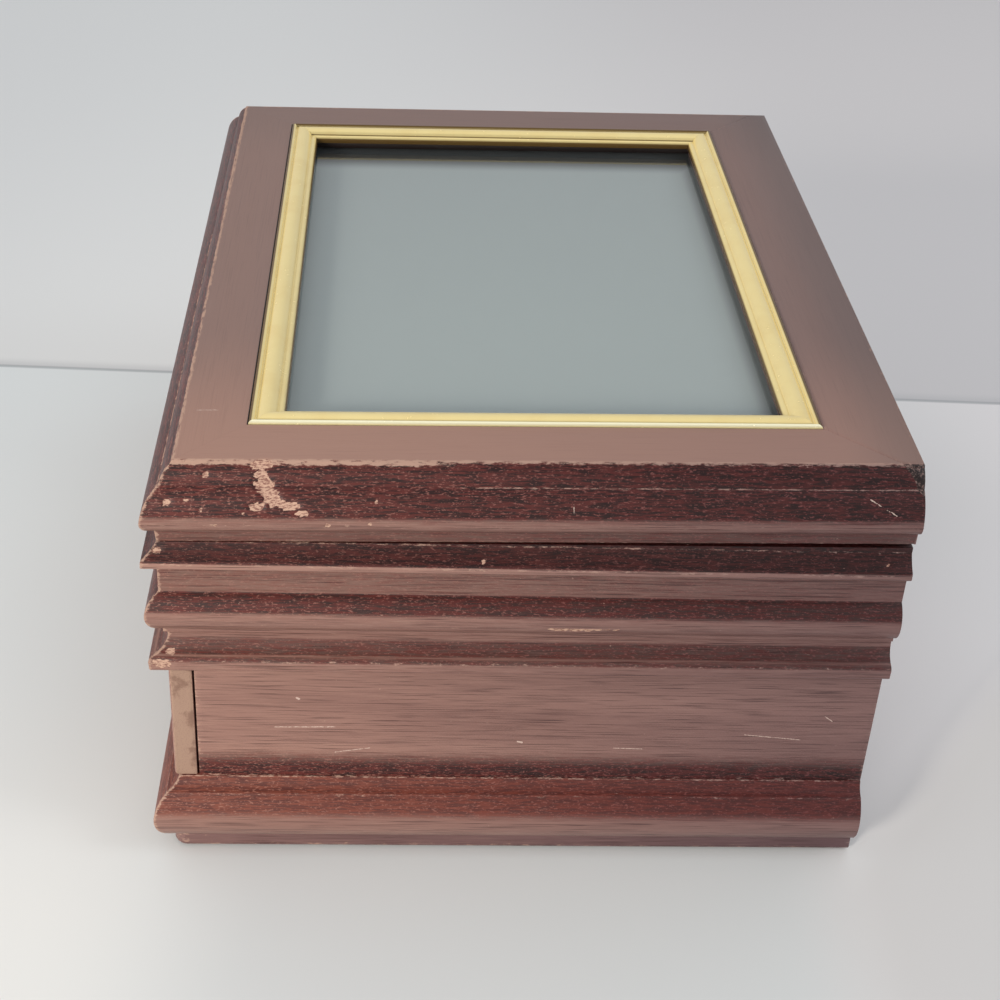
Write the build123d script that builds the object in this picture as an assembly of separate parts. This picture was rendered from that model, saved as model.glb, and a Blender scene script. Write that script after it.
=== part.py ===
import os

from build123d import *

# Jewellery box, millimetres. +X is the right side, -Y the front with the drawers, +Z up.
# The origin is on the table, under the middle of the rectangle that the lid's top arris draws.

# Driving sizes of the whole box
LID_WIDTH = 211.0          # between the top arrises of the lid's left and right sides
LID_DEPTH = 165.0          # from the lid's front top arris to its flat back
FRONT_HEIGHT = 110.0       # from the table to the lid's front top arris
LID_THICKNESS = 18.5
LID_TILT = 0.88            # degrees: the hinges hold the back of the lid up
RIM_FRONT_HEIGHT = 91.2    # top of the case under the lid's front arris
RIM_SLOPE = 0.56           # degrees: the top of the case rises towards the back

# Heights of the case's layers
FELT_THICKNESS = 0.6
PLINTH_TOP = 5.4
BASE_TOP = 21.5
BAY_TOP = 57.2
DUST_BOARD_THICKNESS = 3.0
BOTTOM_BOARD_THICKNESS = 4.0

# Setbacks and projections, measured outward from the lid's top arris
PLINTH_OUT = 4.3
PANEL_OUT = 2.2
BASE_INNER = -11.8
CASE_INNER = -6.8
BACK_PANEL_THICKNESS = 10.5
BOARD_REBATE = 4.0
PLINTH_CORNER = 3.5
BASE_FELT_INSET = 2.0      # between the plinth's edge and the felt under it

# Lid frame: insets from the arris, and one extra inset of the plain back rail
TRIM_INSET = 15.3
BACK_EXTRA = 4.4
TRIM_WIDTH = 8.0
TRIM_BED = 2.6             # depth of the step that the trim lies in
LIP_BOTTOM = 4.4           # depth of the underside of the lip over the glass
LIP_INSET = 22.7
GLASS_INSET = 14.6
LEDGE_INSET = 7.8
LEDGE_DEPTH = 10.9
GLASS_THICKNESS = 2.0
CARD_THICKNESS = 0.5
BACKING_THICKNESS = 3.2
LINING_THICKNESS = 0.8
FIT_GAP = 0.3

# Drawers
DRAWER_FRONT_FACE = -85.8
DRAWER_FRONT_THICKNESS = 5.4
DRAWER_FRONT_ROUND = 0.8   # radius of the round on the front's outer edges
PANEL_FRONT_EDGE = -79.9
FRONT_GAP = 0.8            # between the two drawer fronts
PARTITION_THICKNESS = 6.0
DRAWER_CLEARANCE = 0.5
DRAWER_WALL = 4.0
DRAWER_LENGTH = 146.0
DRAWER_WALL_HEIGHT = 29.0
DRAWER_BOTTOM_LIFT = 2.2
DRAWER_BOTTOM_THICKNESS = 2.5
GROOVE_DEPTH = 2.0
KNOB_RADIUS = 4.6
KNOB_LENGTH = 8.5
KNOB_SCREW_RADIUS = 1.2
KNOB_SCREW_HEAD = 2.8
KNOB_SCREW_HEAD_HEIGHT = 1.6
KNOB_SCREW_BITE = 4.5      # how far the screw goes into the knob

# Compartment under the lid
DIVIDER_THICKNESS = 3.5
DIVIDER_TOP = 84.0
DIVIDER_Y = 4.0
ROLL_COUNT = 6
ROLL_BASE = 7.5
ROLL_CROWN = 5.0

# Hinges and turn buttons
HINGE_X = 62.0
HINGE_LENGTH = 32.0
LEAF_THICKNESS = 0.55
LEAF_WIDTH = 10.5
KNUCKLE_RADIUS = 1.55
PIN_RADIUS = 0.8
PIN_CLEARANCE = 0.05
PIN_OVERHANG = 0.4
KNUCKLE_GAP = 0.3
HINGE_AXIS_OUT = 1.75      # behind the flat back
HINGE_SCREW_PITCH = 20.0
SCREW_SHANK = 0.9
SCREW_HEAD = 1.7
SCREW_LENGTH = 8.0
BUTTON_X = 55.0
BUTTON_RADIUS = 3.0
BUTTON_REACH = 12.0
BUTTON_THICKNESS = 0.8
BUTTON_SCREW = 1.1
BUTTON_SCREW_LENGTH = 6.5
BUTTON_SCREW_HEAD_HEIGHT = 0.9

# Derived places
HALF_W = LID_WIDTH / 2
HALF_D = LID_DEPTH / 2
CASE_X = HALF_W + CASE_INNER
CASE_FRONT_Y = -HALF_D - CASE_INNER
BACK_PANEL_Y = HALF_D - BACK_PANEL_THICKNESS
DUST_TOP = BAY_TOP + DUST_BOARD_THICKNESS
SPAN = 300.0               # longer than the whole box
CUT_MARGIN = 1.0           # how far a cut passes the surface that it opens
NO_BACK_MITRE = -80.0      # sets a frame's back mitres behind its flat back
MITRE_REACH = 60.0         # how far a rail's share of the ground goes outside the arris
MITRE_DEPTH = 40.0         # and how far it goes inside


def segment(start, step, place):
    """One edge of a moulding's section: a line to one point, or an arc through two."""
    if len(step) == 1:
        return Line(place(start), place(step[0]))
    return ThreePointArc(place(start), place(step[0]), place(step[1]))


def drawn_edges(section, place):
    """The edges of a section: its first point, then steps of one point or two, each put in its place."""
    edges = []
    start = section[0]
    for step in section[1:]:
        edges.append(segment(start, step, place))
        start = step[-1]
    return edges


def section_edges(section, half, side):
    """The edges of a section, given as (outward, height), on the left (-1) or right (+1) of a block."""
    def place(point):
        return (side * (half + point[0]), point[1])

    return drawn_edges(section, place)


def moulded_block(section):
    """A block with the section along its front and both sides and a flat back, mitred at the corners."""
    top = section[0]
    bottom = section[-1][-1]
    across = section_edges(section, HALF_W, 1) + section_edges(section, HALF_W, -1)
    across.append(Line((HALF_W + top[0], top[1]), (-HALF_W - top[0], top[1])))
    across.append(Line((HALF_W + bottom[0], bottom[1]), (-HALF_W - bottom[0], bottom[1])))
    along = section_edges(section, HALF_D, -1)
    along.append(Line((-HALF_D - top[0], top[1]), (HALF_D, top[1])))
    along.append(Line((HALF_D, top[1]), (HALF_D, bottom[1])))
    along.append(Line((HALF_D, bottom[1]), (-HALF_D - bottom[0], bottom[1])))
    width_run = extrude(Plane.XZ * make_face(across), SPAN / 2, both=True)
    depth_run = extrude(Plane.YZ * make_face(along), SPAN / 2, both=True)
    return width_run & depth_run


def block(x0, x1, y0, y1, z0, z1):
    """A box between two corners."""
    size = Box(x1 - x0, y1 - y0, z1 - z0)
    return Pos((x0 + x1) / 2, (y0 + y1) / 2, (z0 + z1) / 2) * size


def inset_block(inset, back_extra, z0, z1):
    """A box whose sides lie inside the arris rectangle by the inset, and by more at the back."""
    x = HALF_W - inset
    return block(-x, x, -HALF_D + inset, HALF_D - inset - back_extra, z0, z1)


def prism(points, z0, z1):
    """An upright prism over a polygon."""
    face = make_face(Polyline(*points, close=True))
    return Pos(0, 0, z0) * extrude(face, z1 - z0)


def quarter(side, back_extra, z0, z1):
    """The part of a frame that belongs to one rail: the ground between two mitres at 45 degrees."""
    x_in = HALF_W - MITRE_DEPTH
    x_out = HALF_W + MITRE_REACH
    front_in = -HALF_D + MITRE_DEPTH
    front_out = -HALF_D - MITRE_REACH
    back_in = HALF_D - MITRE_DEPTH - back_extra
    back_out = HALF_D + MITRE_REACH - back_extra
    if side == "front":
        points = [(-x_out, front_out), (x_out, front_out), (x_in, front_in), (-x_in, front_in)]
    elif side == "back":
        points = [(-x_out, back_out), (x_out, back_out), (x_in, back_in), (-x_in, back_in)]
    elif side == "right":
        points = [(x_out, front_out), (x_out, back_out), (x_in, back_in), (x_in, front_in)]
    else:
        points = [(-x_out, front_out), (-x_out, back_out), (-x_in, back_in), (-x_in, front_in)]
    return prism(points, z0, z1)


# Sections of the mouldings as (outward from the arris, height), from the top down

LID_SECTION = [
    (-0.6, 0.0),
    ((-0.1, -0.1), (0.2, -0.6)),
    ((1.8, -2.3), (2.8, -4.7)),
    ((3.2, -4.9),),
    ((5.6, -7.7), (6.9, -11.4)),
    ((6.7, -13.5), (5.4, -14.8)),
    ((4.3, -14.9),),
    ((4.0, -LID_THICKNESS),),
]

CORNICE_SECTION = [
    (3.7, 94.0),
    ((3.7, 91.2),),
    ((5.2, 89.4), (7.1, 87.9)),
    ((7.2, 86.3),),
    ((6.9, 85.9),),
    ((4.0, 85.6),),
    ((4.0, 77.8),),
    ((7.1, 72.8), (4.9, 68.1)),
    ((3.6, 68.1),),
    ((3.6, 66.1),),
    ((2.8, 65.9),),
    ((3.8, 62.2), (6.1, 60.9)),
    ((6.8, 60.3), (6.9, 59.3)),
    ((6.8, 57.6),),
    ((6.4, BAY_TOP),),
]

BASE_SECTION = [
    (2.3, BASE_TOP),
    ((3.3, 19.5), (5.2, 18.5)),
    ((5.4, 18.1),),
    ((8.2, 12.6), (5.8, 5.7)),
    ((5.2, PLINTH_TOP),),
]

# Section of the gilt trim as (inward from its outer edge, height), from the outer edge in

TRIM_SECTION = [
    (0.05, -TRIM_BED),
    ((0.05, 0.0),),
    ((0.75, 0.65), (1.5, 0.1)),
    ((1.8, -0.3),),
    ((3.9, 0.65), (6.0, -0.7)),
    ((6.3, -1.1),),
    ((6.9, -0.75), (7.6, -1.2)),
    ((TRIM_WIDTH, -1.7),),
    ((TRIM_WIDTH, -TRIM_BED),),
]

# Half section of a knob as (radius, height), from the foot to the nose

KNOB_SECTION = [
    (3.2, 0.0),
    ((3.2, 0.8),),
    ((2.2, 2.2), (3.4, 4.4)),
    ((KNOB_RADIUS, 5.9), (2.9, 8.2)),
    ((2.0, 8.42), (1.1, KNOB_LENGTH)),
]


def lid_blank():
    """The lid's moulded frame before it is split: two steps from above, two from below."""
    frame = moulded_block(LID_SECTION)
    low = -LID_THICKNESS - CUT_MARGIN
    frame -= inset_block(TRIM_INSET, BACK_EXTRA, -TRIM_BED, CUT_MARGIN)
    frame -= inset_block(LIP_INSET, BACK_EXTRA, low, CUT_MARGIN)
    frame -= inset_block(GLASS_INSET, BACK_EXTRA, low, -LIP_BOTTOM)
    frame -= inset_block(LEDGE_INSET, BACK_EXTRA, low, -LEDGE_DEPTH)
    return frame


def lid_place(shape):
    """Moves a piece from the lid's own frame, with its top at 0, to its closed place on the case."""
    return Pos(0, -HALF_D, FRONT_HEIGHT) * Rot(LID_TILT, 0, 0) * Pos(0, HALF_D, 0) * shape


def rim_place(shape):
    """Moves a piece from the rim's own plane, with the rim at 0, to its place on top of the case."""
    return Pos(0, -HALF_D, RIM_FRONT_HEIGHT) * Rot(RIM_SLOPE, 0, 0) * Pos(0, HALF_D, 0) * shape


def above_rim():
    """All the space over the sloping rim of the case."""
    return rim_place(block(-SPAN, SPAN, -SPAN, SPAN, 0, SPAN))


def hinge_screw_points():
    """The places of the screws, the same in both leaves of both hinges."""
    y = HALF_D - LEAF_WIDTH / 2
    shifts = (-HINGE_SCREW_PITCH / 2, HINGE_SCREW_PITCH / 2)
    return [(side * HINGE_X + shift, y) for side in (-1, 1) for shift in shifts]


def countersunk_screw():
    """A small wood screw with its head's top at 0 and its shank going down."""
    head = Pos(0, 0, -LEAF_THICKNESS / 2) * Cone(SCREW_SHANK, SCREW_HEAD, LEAF_THICKNESS)
    shank_length = SCREW_LENGTH - LEAF_THICKNESS
    shank = Pos(0, 0, -LEAF_THICKNESS - shank_length / 2) * Cylinder(SCREW_SHANK, shank_length)
    return head + shank


def lower_screws():
    """The four screws of the lower leaves, in their place in the rim."""
    group = [Pos(x, y, LEAF_THICKNESS) * countersunk_screw() for x, y in hinge_screw_points()]
    return rim_place(Compound(group))


def upper_screws():
    """The four screws of the upper leaves, pointing up into the lid's back rail."""
    turned = Rot(180, 0, 0) * countersunk_screw()
    low = -LID_THICKNESS - LEAF_THICKNESS
    group = [Pos(x, y, low) * turned for x, y in hinge_screw_points()]
    return lid_place(Compound(group))


def hinge_axis_height():
    """Height of the hinge axis: halfway between the case's rim and the lid at the back."""
    rim = rim_place(Vertex(0, HALF_D, 0)).center().Z
    lid = lid_place(Vertex(0, HALF_D, -LID_THICKNESS)).center().Z
    return (rim + lid) / 2


def knuckle(x0, x1, radius):
    """A length of round bar along the hinge axis."""
    bar = Rot(0, 90, 0) * Cylinder(radius, x1 - x0)
    return Pos((x0 + x1) / 2, HALF_D + HINGE_AXIS_OUT, hinge_axis_height()) * bar


def hinge(side):
    """One butt hinge: the lower leaf with the outer knuckles, the upper leaf and the pin."""
    x0 = side * HINGE_X - HINGE_LENGTH / 2
    x1 = x0 + HINGE_LENGTH
    third = HINGE_LENGTH / 3
    y0 = HALF_D - LEAF_WIDTH
    y1 = HALF_D + HINGE_AXIS_OUT
    bore = knuckle(x0 - CUT_MARGIN, x1 + CUT_MARGIN, PIN_RADIUS)
    loose_bore = knuckle(x0 - CUT_MARGIN, x1 + CUT_MARGIN, PIN_RADIUS + PIN_CLEARANCE)
    middle = knuckle(x0 + third - KNUCKLE_GAP, x1 - third + KNUCKLE_GAP, KNUCKLE_RADIUS + KNUCKLE_GAP)
    ends = knuckle(x0 - CUT_MARGIN, x0 + third, KNUCKLE_RADIUS + KNUCKLE_GAP)
    ends += knuckle(x1 - third, x1 + CUT_MARGIN, KNUCKLE_RADIUS + KNUCKLE_GAP)

    lower = rim_place(block(x0, x1, y0, y1, 0, LEAF_THICKNESS))
    lower += knuckle(x0, x1, KNUCKLE_RADIUS)
    lower -= middle
    lower -= bore

    upper = lid_place(block(x0, x1, y0, y1, -LID_THICKNESS - LEAF_THICKNESS, -LID_THICKNESS))
    upper += knuckle(x0 + third, x1 - third, KNUCKLE_RADIUS)
    upper -= ends
    upper -= loose_bore

    pin = knuckle(x0 - PIN_OVERHANG, x1 + PIN_OVERHANG, PIN_RADIUS)
    return lower, upper, pin


def button_places():
    """Pivots of the four turn buttons in the lid's frame, and the turn of each button's arm."""
    ledge_middle = (GLASS_INSET + LEDGE_INSET) / 2
    front_y = -HALF_D + ledge_middle
    back_y = HALF_D - ledge_middle - BACK_EXTRA
    return {
        "turn_button_front_left": (-BUTTON_X, front_y, 0),
        "turn_button_front_right": (BUTTON_X, front_y, 0),
        "turn_button_back_left": (-BUTTON_X, back_y, 180),
        "turn_button_back_right": (BUTTON_X, back_y, 180),
    }


def turn_button():
    """A flat brass button with its pivot hole at the origin and its arm along +Y."""
    plan = SlotCenterToCenter(BUTTON_REACH - BUTTON_RADIUS, 2 * BUTTON_RADIUS)
    plate = extrude(Pos(0, (BUTTON_REACH - BUTTON_RADIUS) / 2) * (Rot(0, 0, 90) * plan), BUTTON_THICKNESS)
    hole = Cylinder(BUTTON_SCREW + PIN_CLEARANCE, 4 * BUTTON_THICKNESS)
    return plate - hole


def button_screw():
    """The pivot screw of a turn button: a round head below, a plain shank going up."""
    head = Pos(0, 0, -BUTTON_SCREW_HEAD_HEIGHT / 2) * Cylinder(2 * BUTTON_SCREW, BUTTON_SCREW_HEAD_HEIGHT)
    shank = Pos(0, 0, BUTTON_SCREW_LENGTH / 2) * Cylinder(BUTTON_SCREW, BUTTON_SCREW_LENGTH)
    return head + shank


def button_low():
    """Height of a turn button's underside in the lid's frame."""
    return -LEDGE_DEPTH - FIT_GAP - BUTTON_THICKNESS


def turn_buttons():
    """The four turn buttons over the back of the picture, each a node of its own."""
    shapes = {}
    for name, (x, y, turn) in button_places().items():
        placed = Pos(x, y, button_low()) * (Rot(0, 0, turn) * turn_button())
        shapes[name] = lid_place(placed)
    return shapes


def button_screws():
    """The four pivot screws in the lid's ledge."""
    low = button_low() - FIT_GAP
    group = [Pos(x, y, low) * button_screw() for x, y, _ in button_places().values()]
    return lid_place(Compound(group))


def lid_rails():
    """The lid's four mitred rails."""
    blank = lid_place(lid_blank()) - button_screws() - upper_screws()
    rails = {}
    for side in ("front", "back", "left", "right"):
        wedge = lid_place(quarter(side, BACK_EXTRA, -LID_THICKNESS - CUT_MARGIN, CUT_MARGIN))
        rails["lid_rail_" + side] = blank & wedge
    return rails


def trim_face(outer, inward):
    """The trim's section as a face, standing on a line at the outer edge and growing inward."""
    def place(point):
        return (outer + inward * point[0], point[1])

    edges = drawn_edges(TRIM_SECTION, place)
    edges.append(Line(place(TRIM_SECTION[-1][-1]), place(TRIM_SECTION[0])))
    return make_face(edges)


def gilt_trim():
    """Four mitred lengths of gilt picture trim round the glass."""
    x_outer = HALF_W - TRIM_INSET
    front_outer = -HALF_D + TRIM_INSET
    back_outer = HALF_D - TRIM_INSET - BACK_EXTRA
    runs = {
        "left": extrude(Plane.XZ * trim_face(-x_outer, 1), SPAN / 2, both=True),
        "right": extrude(Plane.XZ * trim_face(x_outer, -1), SPAN / 2, both=True),
        "front": extrude(Plane.YZ * trim_face(front_outer, 1), SPAN / 2, both=True),
        "back": extrude(Plane.YZ * trim_face(back_outer, -1), SPAN / 2, both=True),
    }
    trims = {}
    for side, run in runs.items():
        piece = run & quarter(side, BACK_EXTRA, -TRIM_BED - CUT_MARGIN, CUT_MARGIN)
        trims["gilt_trim_" + side] = lid_place(piece)
    return trims


def picture_layers():
    """The glass, the plain card, the backing and its felt, stacked under the lip."""
    layers = {}
    top = -LIP_BOTTOM
    edge = GLASS_INSET + FIT_GAP
    thickness = {
        "picture_glass": GLASS_THICKNESS,
        "picture_card": CARD_THICKNESS,
        "picture_backing": BACKING_THICKNESS,
        "backing_felt": LINING_THICKNESS,
    }
    for name, depth in thickness.items():
        layers[name] = lid_place(inset_block(edge, BACK_EXTRA, top - depth, top))
        top -= depth
    return layers


def cornice():
    """The moulded upper walls of the case at the front, left and right."""
    case = moulded_block(CORNICE_SECTION) - above_rim()
    case -= block(-CASE_X, CASE_X, CASE_FRONT_Y, SPAN, 0, SPAN)
    rebate_x = CASE_X + BOARD_REBATE
    case -= block(-rebate_x, rebate_x, CASE_FRONT_Y - BOARD_REBATE, BACK_PANEL_Y, 0, DUST_TOP)
    walls = {}
    for side in ("front", "left", "right"):
        walls["cornice_" + side] = case & quarter(side, NO_BACK_MITRE, 0, SPAN)
    return walls


def base_frame():
    """The mitred base moulding on three sides and the plain rail at the back."""
    frame = moulded_block(BASE_SECTION)
    frame -= inset_block(-BASE_INNER, 0, 0, BASE_TOP + CUT_MARGIN)
    board_z = BASE_TOP - BOTTOM_BOARD_THICKNESS
    frame -= inset_block(-BASE_INNER - BOARD_REBATE, 0, board_z, BASE_TOP + CUT_MARGIN)
    rails = {}
    for side in ("front", "back", "left", "right"):
        rails["base_moulding_" + side] = frame & quarter(side, 0, 0, SPAN)
    return rails


def plinth():
    """The plinth board, round at its two front corners, and the felt glued under it."""
    x = HALF_W + PLINTH_OUT
    y = -HALF_D - PLINTH_OUT
    board = block(-x, x, y, HALF_D, FELT_THICKNESS, PLINTH_TOP)
    corners = board.edges().filter_by(Axis.Z).sort_by(Axis.Y)[:2]
    board = fillet(corners, PLINTH_CORNER)
    felt = block(
        -x + BASE_FELT_INSET, x - BASE_FELT_INSET,
        y + BASE_FELT_INSET, HALF_D - BASE_FELT_INSET, 0, FELT_THICKNESS,
    )
    return {"plinth_board": board, "base_felt": felt}


def case_boards():
    """The flat boards of the case: bottom, sides, back, partition and dust board."""
    bottom_x = HALF_W + BASE_INNER + BOARD_REBATE
    bottom_y = HALF_D + BASE_INNER + BOARD_REBATE
    panel_x = HALF_W + PANEL_OUT
    half_partition = PARTITION_THICKNESS / 2
    dust_x = CASE_X + BOARD_REBATE
    dust_y = CASE_FRONT_Y - BOARD_REBATE
    board_z = BASE_TOP - BOTTOM_BOARD_THICKNESS
    back = block(-CASE_X, CASE_X, BACK_PANEL_Y, HALF_D, BASE_TOP, FRONT_HEIGHT) - above_rim()
    return {
        "bottom_board": block(-bottom_x, bottom_x, -bottom_y, bottom_y, board_z, BASE_TOP),
        "side_panel_left": block(-panel_x, -CASE_X, PANEL_FRONT_EDGE, HALF_D, BASE_TOP, BAY_TOP),
        "side_panel_right": block(CASE_X, panel_x, PANEL_FRONT_EDGE, HALF_D, BASE_TOP, BAY_TOP),
        "back_panel": back - lower_screws(),
        "drawer_partition": block(
            -half_partition, half_partition, PANEL_FRONT_EDGE, BACK_PANEL_Y, BASE_TOP, BAY_TOP
        ),
        "dust_board": block(-dust_x, dust_x, dust_y, BACK_PANEL_Y, BAY_TOP, DUST_TOP),
    }


def roll_face(y0, y1, z0):
    """The end of the ring cushion: a base with a row of round rolls on top."""
    pitch = (y1 - y0) / ROLL_COUNT
    z_roll = z0 + ROLL_BASE
    edges = [Line((y0, z_roll), (y0, z0)), Line((y0, z0), (y1, z0)), Line((y1, z0), (y1, z_roll))]
    for index in range(ROLL_COUNT):
        start = y0 + index * pitch
        crown = (start + pitch / 2, z_roll + ROLL_CROWN)
        edges.append(ThreePointArc((start, z_roll), crown, (start + pitch, z_roll)))
    return make_face(edges)


def compartment():
    """The felt floor, the two dividers and the ring cushion under the lid."""
    felt_top = DUST_TOP + LINING_THICKNESS
    x = CASE_X - FIT_GAP
    front = CASE_FRONT_Y + FIT_GAP
    back = BACK_PANEL_Y - FIT_GAP
    divider_back = DIVIDER_Y + DIVIDER_THICKNESS
    half = DIVIDER_THICKNESS / 2
    rolls = extrude(Plane.YZ * roll_face(divider_back + FIT_GAP, back, felt_top), x, both=True)
    return {
        "compartment_felt": block(-x, x, front, back, DUST_TOP, felt_top),
        "long_divider": block(-x, x, DIVIDER_Y, divider_back, felt_top, DIVIDER_TOP),
        "cross_divider": block(-half, half, front, DIVIDER_Y, felt_top, DIVIDER_TOP),
        "ring_cushion": rolls,
    }


def knob():
    """A small turned brass knob with its base at the origin and its nose along -Y."""
    foot = (0, 0)
    nose = (0, KNOB_LENGTH)
    edges = drawn_edges(KNOB_SECTION, tuple)
    edges += [Line(KNOB_SECTION[-1][-1], nose), Line(nose, foot), Line(foot, KNOB_SECTION[0])]
    turned = revolve(Plane.XZ * make_face(edges), Axis.Z, 360)
    return Rot(90, 0, 0) * turned


def knob_screw():
    """The knob's screw, with its head inside the drawer and its shank along -Y."""
    reach = DRAWER_FRONT_THICKNESS + KNOB_SCREW_BITE
    head = Rot(90, 0, 0) * Cylinder(KNOB_SCREW_HEAD, KNOB_SCREW_HEAD_HEIGHT)
    shank = Rot(90, 0, 0) * Cylinder(KNOB_SCREW_RADIUS, reach)
    return Pos(0, KNOB_SCREW_HEAD_HEIGHT / 2, 0) * head + Pos(0, -reach / 2, 0) * shank


def drawer(side, name):
    """One drawer with its overlaid front, walls, bottom, felt, knob and screw."""
    wall_in = PARTITION_THICKNESS / 2 + DRAWER_CLEARANCE
    wall_out = CASE_X - DRAWER_CLEARANCE
    front_in = FRONT_GAP / 2
    front_out = HALF_W + PANEL_OUT
    y_box = DRAWER_FRONT_FACE + DRAWER_FRONT_THICKNESS
    y_end = y_box + DRAWER_LENGTH
    z_low = BASE_TOP + FIT_GAP
    z_wall = z_low + DRAWER_WALL_HEIGHT
    z_bottom = z_low + DRAWER_BOTTOM_LIFT
    z_inside = z_bottom + DRAWER_BOTTOM_THICKNESS
    knob_x = (front_in + front_out) / 2
    knob_z = (z_low + BAY_TOP) / 2

    bottom = block(
        wall_in + DRAWER_WALL - GROOVE_DEPTH, wall_out - DRAWER_WALL + GROOVE_DEPTH,
        y_box - GROOVE_DEPTH, y_end - DRAWER_WALL + GROOVE_DEPTH, z_bottom, z_inside,
    )
    screw = Pos(knob_x, y_box, knob_z) * knob_screw()
    front = block(front_in, front_out, DRAWER_FRONT_FACE, y_box, z_low, BAY_TOP - FIT_GAP)
    outer_edges = front.faces().sort_by(Axis.Y)[0].edges()
    front = fillet(outer_edges, DRAWER_FRONT_ROUND) - bottom - screw
    inner_wall = block(wall_in, wall_in + DRAWER_WALL, y_box, y_end, z_low, z_wall) - bottom
    outer_wall = block(wall_out - DRAWER_WALL, wall_out, y_box, y_end, z_low, z_wall) - bottom
    back = block(
        wall_in + DRAWER_WALL, wall_out - DRAWER_WALL, y_end - DRAWER_WALL, y_end, z_low, z_wall
    ) - bottom
    felt = block(
        wall_in + DRAWER_WALL + FIT_GAP, wall_out - DRAWER_WALL - FIT_GAP,
        y_box + FIT_GAP, y_end - DRAWER_WALL - FIT_GAP, z_inside, z_inside + LINING_THICKNESS,
    )
    turned = Pos(knob_x, DRAWER_FRONT_FACE, knob_z) * knob() - screw
    pieces = {
        "_front": front,
        "_inner_wall": inner_wall,
        "_outer_wall": outer_wall,
        "_back": back,
        "_bottom": bottom,
        "_felt": felt,
        "_knob": turned,
        "_knob_screw": screw,
    }
    if side < 0:
        pieces = {key: mirror(shape, Plane.YZ) for key, shape in pieces.items()}
    return {name + key: shape for key, shape in pieces.items()}


def hinges():
    """Both hinges and their screws."""
    leaves = {"hinge_lower_screws": lower_screws(), "hinge_upper_screws": upper_screws()}
    for side, word in ((-1, "left"), (1, "right")):
        lower, upper, pin = hinge(side)
        leaves["hinge_lower_leaf_" + word] = lower - lower_screws()
        leaves["hinge_upper_leaf_" + word] = upper - upper_screws()
        leaves["hinge_pin_" + word] = pin
    return leaves


def all_pieces():
    """Every piece of the box by its name."""
    pieces = {}
    pieces.update(plinth())
    pieces.update(base_frame())
    pieces.update(case_boards())
    pieces.update(cornice())
    pieces.update(compartment())
    pieces.update(lid_rails())
    pieces.update(gilt_trim())
    pieces.update(picture_layers())
    pieces.update(turn_buttons())
    pieces["turn_button_screws"] = button_screws()
    pieces.update(hinges())
    pieces.update(drawer(-1, "left_drawer"))
    pieces.update(drawer(1, "right_drawer"))
    return pieces


os.makedirs("parts", exist_ok=True)
for piece_name, piece_shape in all_pieces().items():
    export_step(piece_shape, os.path.join("parts", piece_name + ".step"))
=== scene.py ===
"""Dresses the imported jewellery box: stained mouldings, gilt trim, glass, felts and brass fittings."""

import logging
import math
import random
from dataclasses import dataclass
from enum import Enum
from functools import cached_property
from typing import Callable, Iterable, Optional, Sequence, Union

import bmesh
import bpy
from mathutils import Matrix, Vector, noise


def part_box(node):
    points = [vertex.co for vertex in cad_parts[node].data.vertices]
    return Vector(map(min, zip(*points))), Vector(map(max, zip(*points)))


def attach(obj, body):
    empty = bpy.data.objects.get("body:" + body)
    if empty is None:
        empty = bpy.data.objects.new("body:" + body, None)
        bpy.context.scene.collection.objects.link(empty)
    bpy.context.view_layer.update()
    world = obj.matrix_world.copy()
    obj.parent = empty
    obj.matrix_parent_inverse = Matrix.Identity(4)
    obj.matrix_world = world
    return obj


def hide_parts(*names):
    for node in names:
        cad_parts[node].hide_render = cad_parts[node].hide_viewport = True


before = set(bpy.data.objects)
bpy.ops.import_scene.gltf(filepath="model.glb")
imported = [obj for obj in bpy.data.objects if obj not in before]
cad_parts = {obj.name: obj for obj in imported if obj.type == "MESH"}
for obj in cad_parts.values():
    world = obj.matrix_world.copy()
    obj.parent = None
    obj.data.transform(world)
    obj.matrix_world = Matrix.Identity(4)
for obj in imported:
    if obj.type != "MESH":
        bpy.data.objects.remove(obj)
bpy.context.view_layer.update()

log = logging.getLogger("jewellery_box")

Point = tuple[float, float]
Place = tuple[float, float, float]
Colour = tuple[float, float, float, float]
Step = tuple[Point, ...]
Vert = bmesh.types.BMVert
Edge = bmesh.types.BMEdge
Face = bmesh.types.BMFace
ShadeAndDirt = Callable[[float, float, float], float]
Amount = Callable[[Vert], float]

# Lengths are in millimetres on the bench and become metres when a piece is released
METRES = 0.001
HALF_WIDTH = 105.5
HALF_DEPTH = 82.5
FRONT_HEIGHT = 110.0
LID_THICKNESS = 18.5
LID_TILT = math.radians(0.88)
RIM_FRONT_HEIGHT = 91.2
RIM_SLOPE = math.radians(0.56)
BACK_EXTRA = 4.4
DUST_TOP = 60.2
HAIRLINE = 0.012

# What counts as sharp, as level, as tilted upward, as on a plane and as the same point
SHARP = math.radians(32)
LEVEL = (0.9, 0.975)
TILTED = (0.08, 0.34)
ON_PLANE = 1e-3
SAW_REACH = 1e-5
SLOT_REACH = 1e-4
WELD = 0.002

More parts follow.
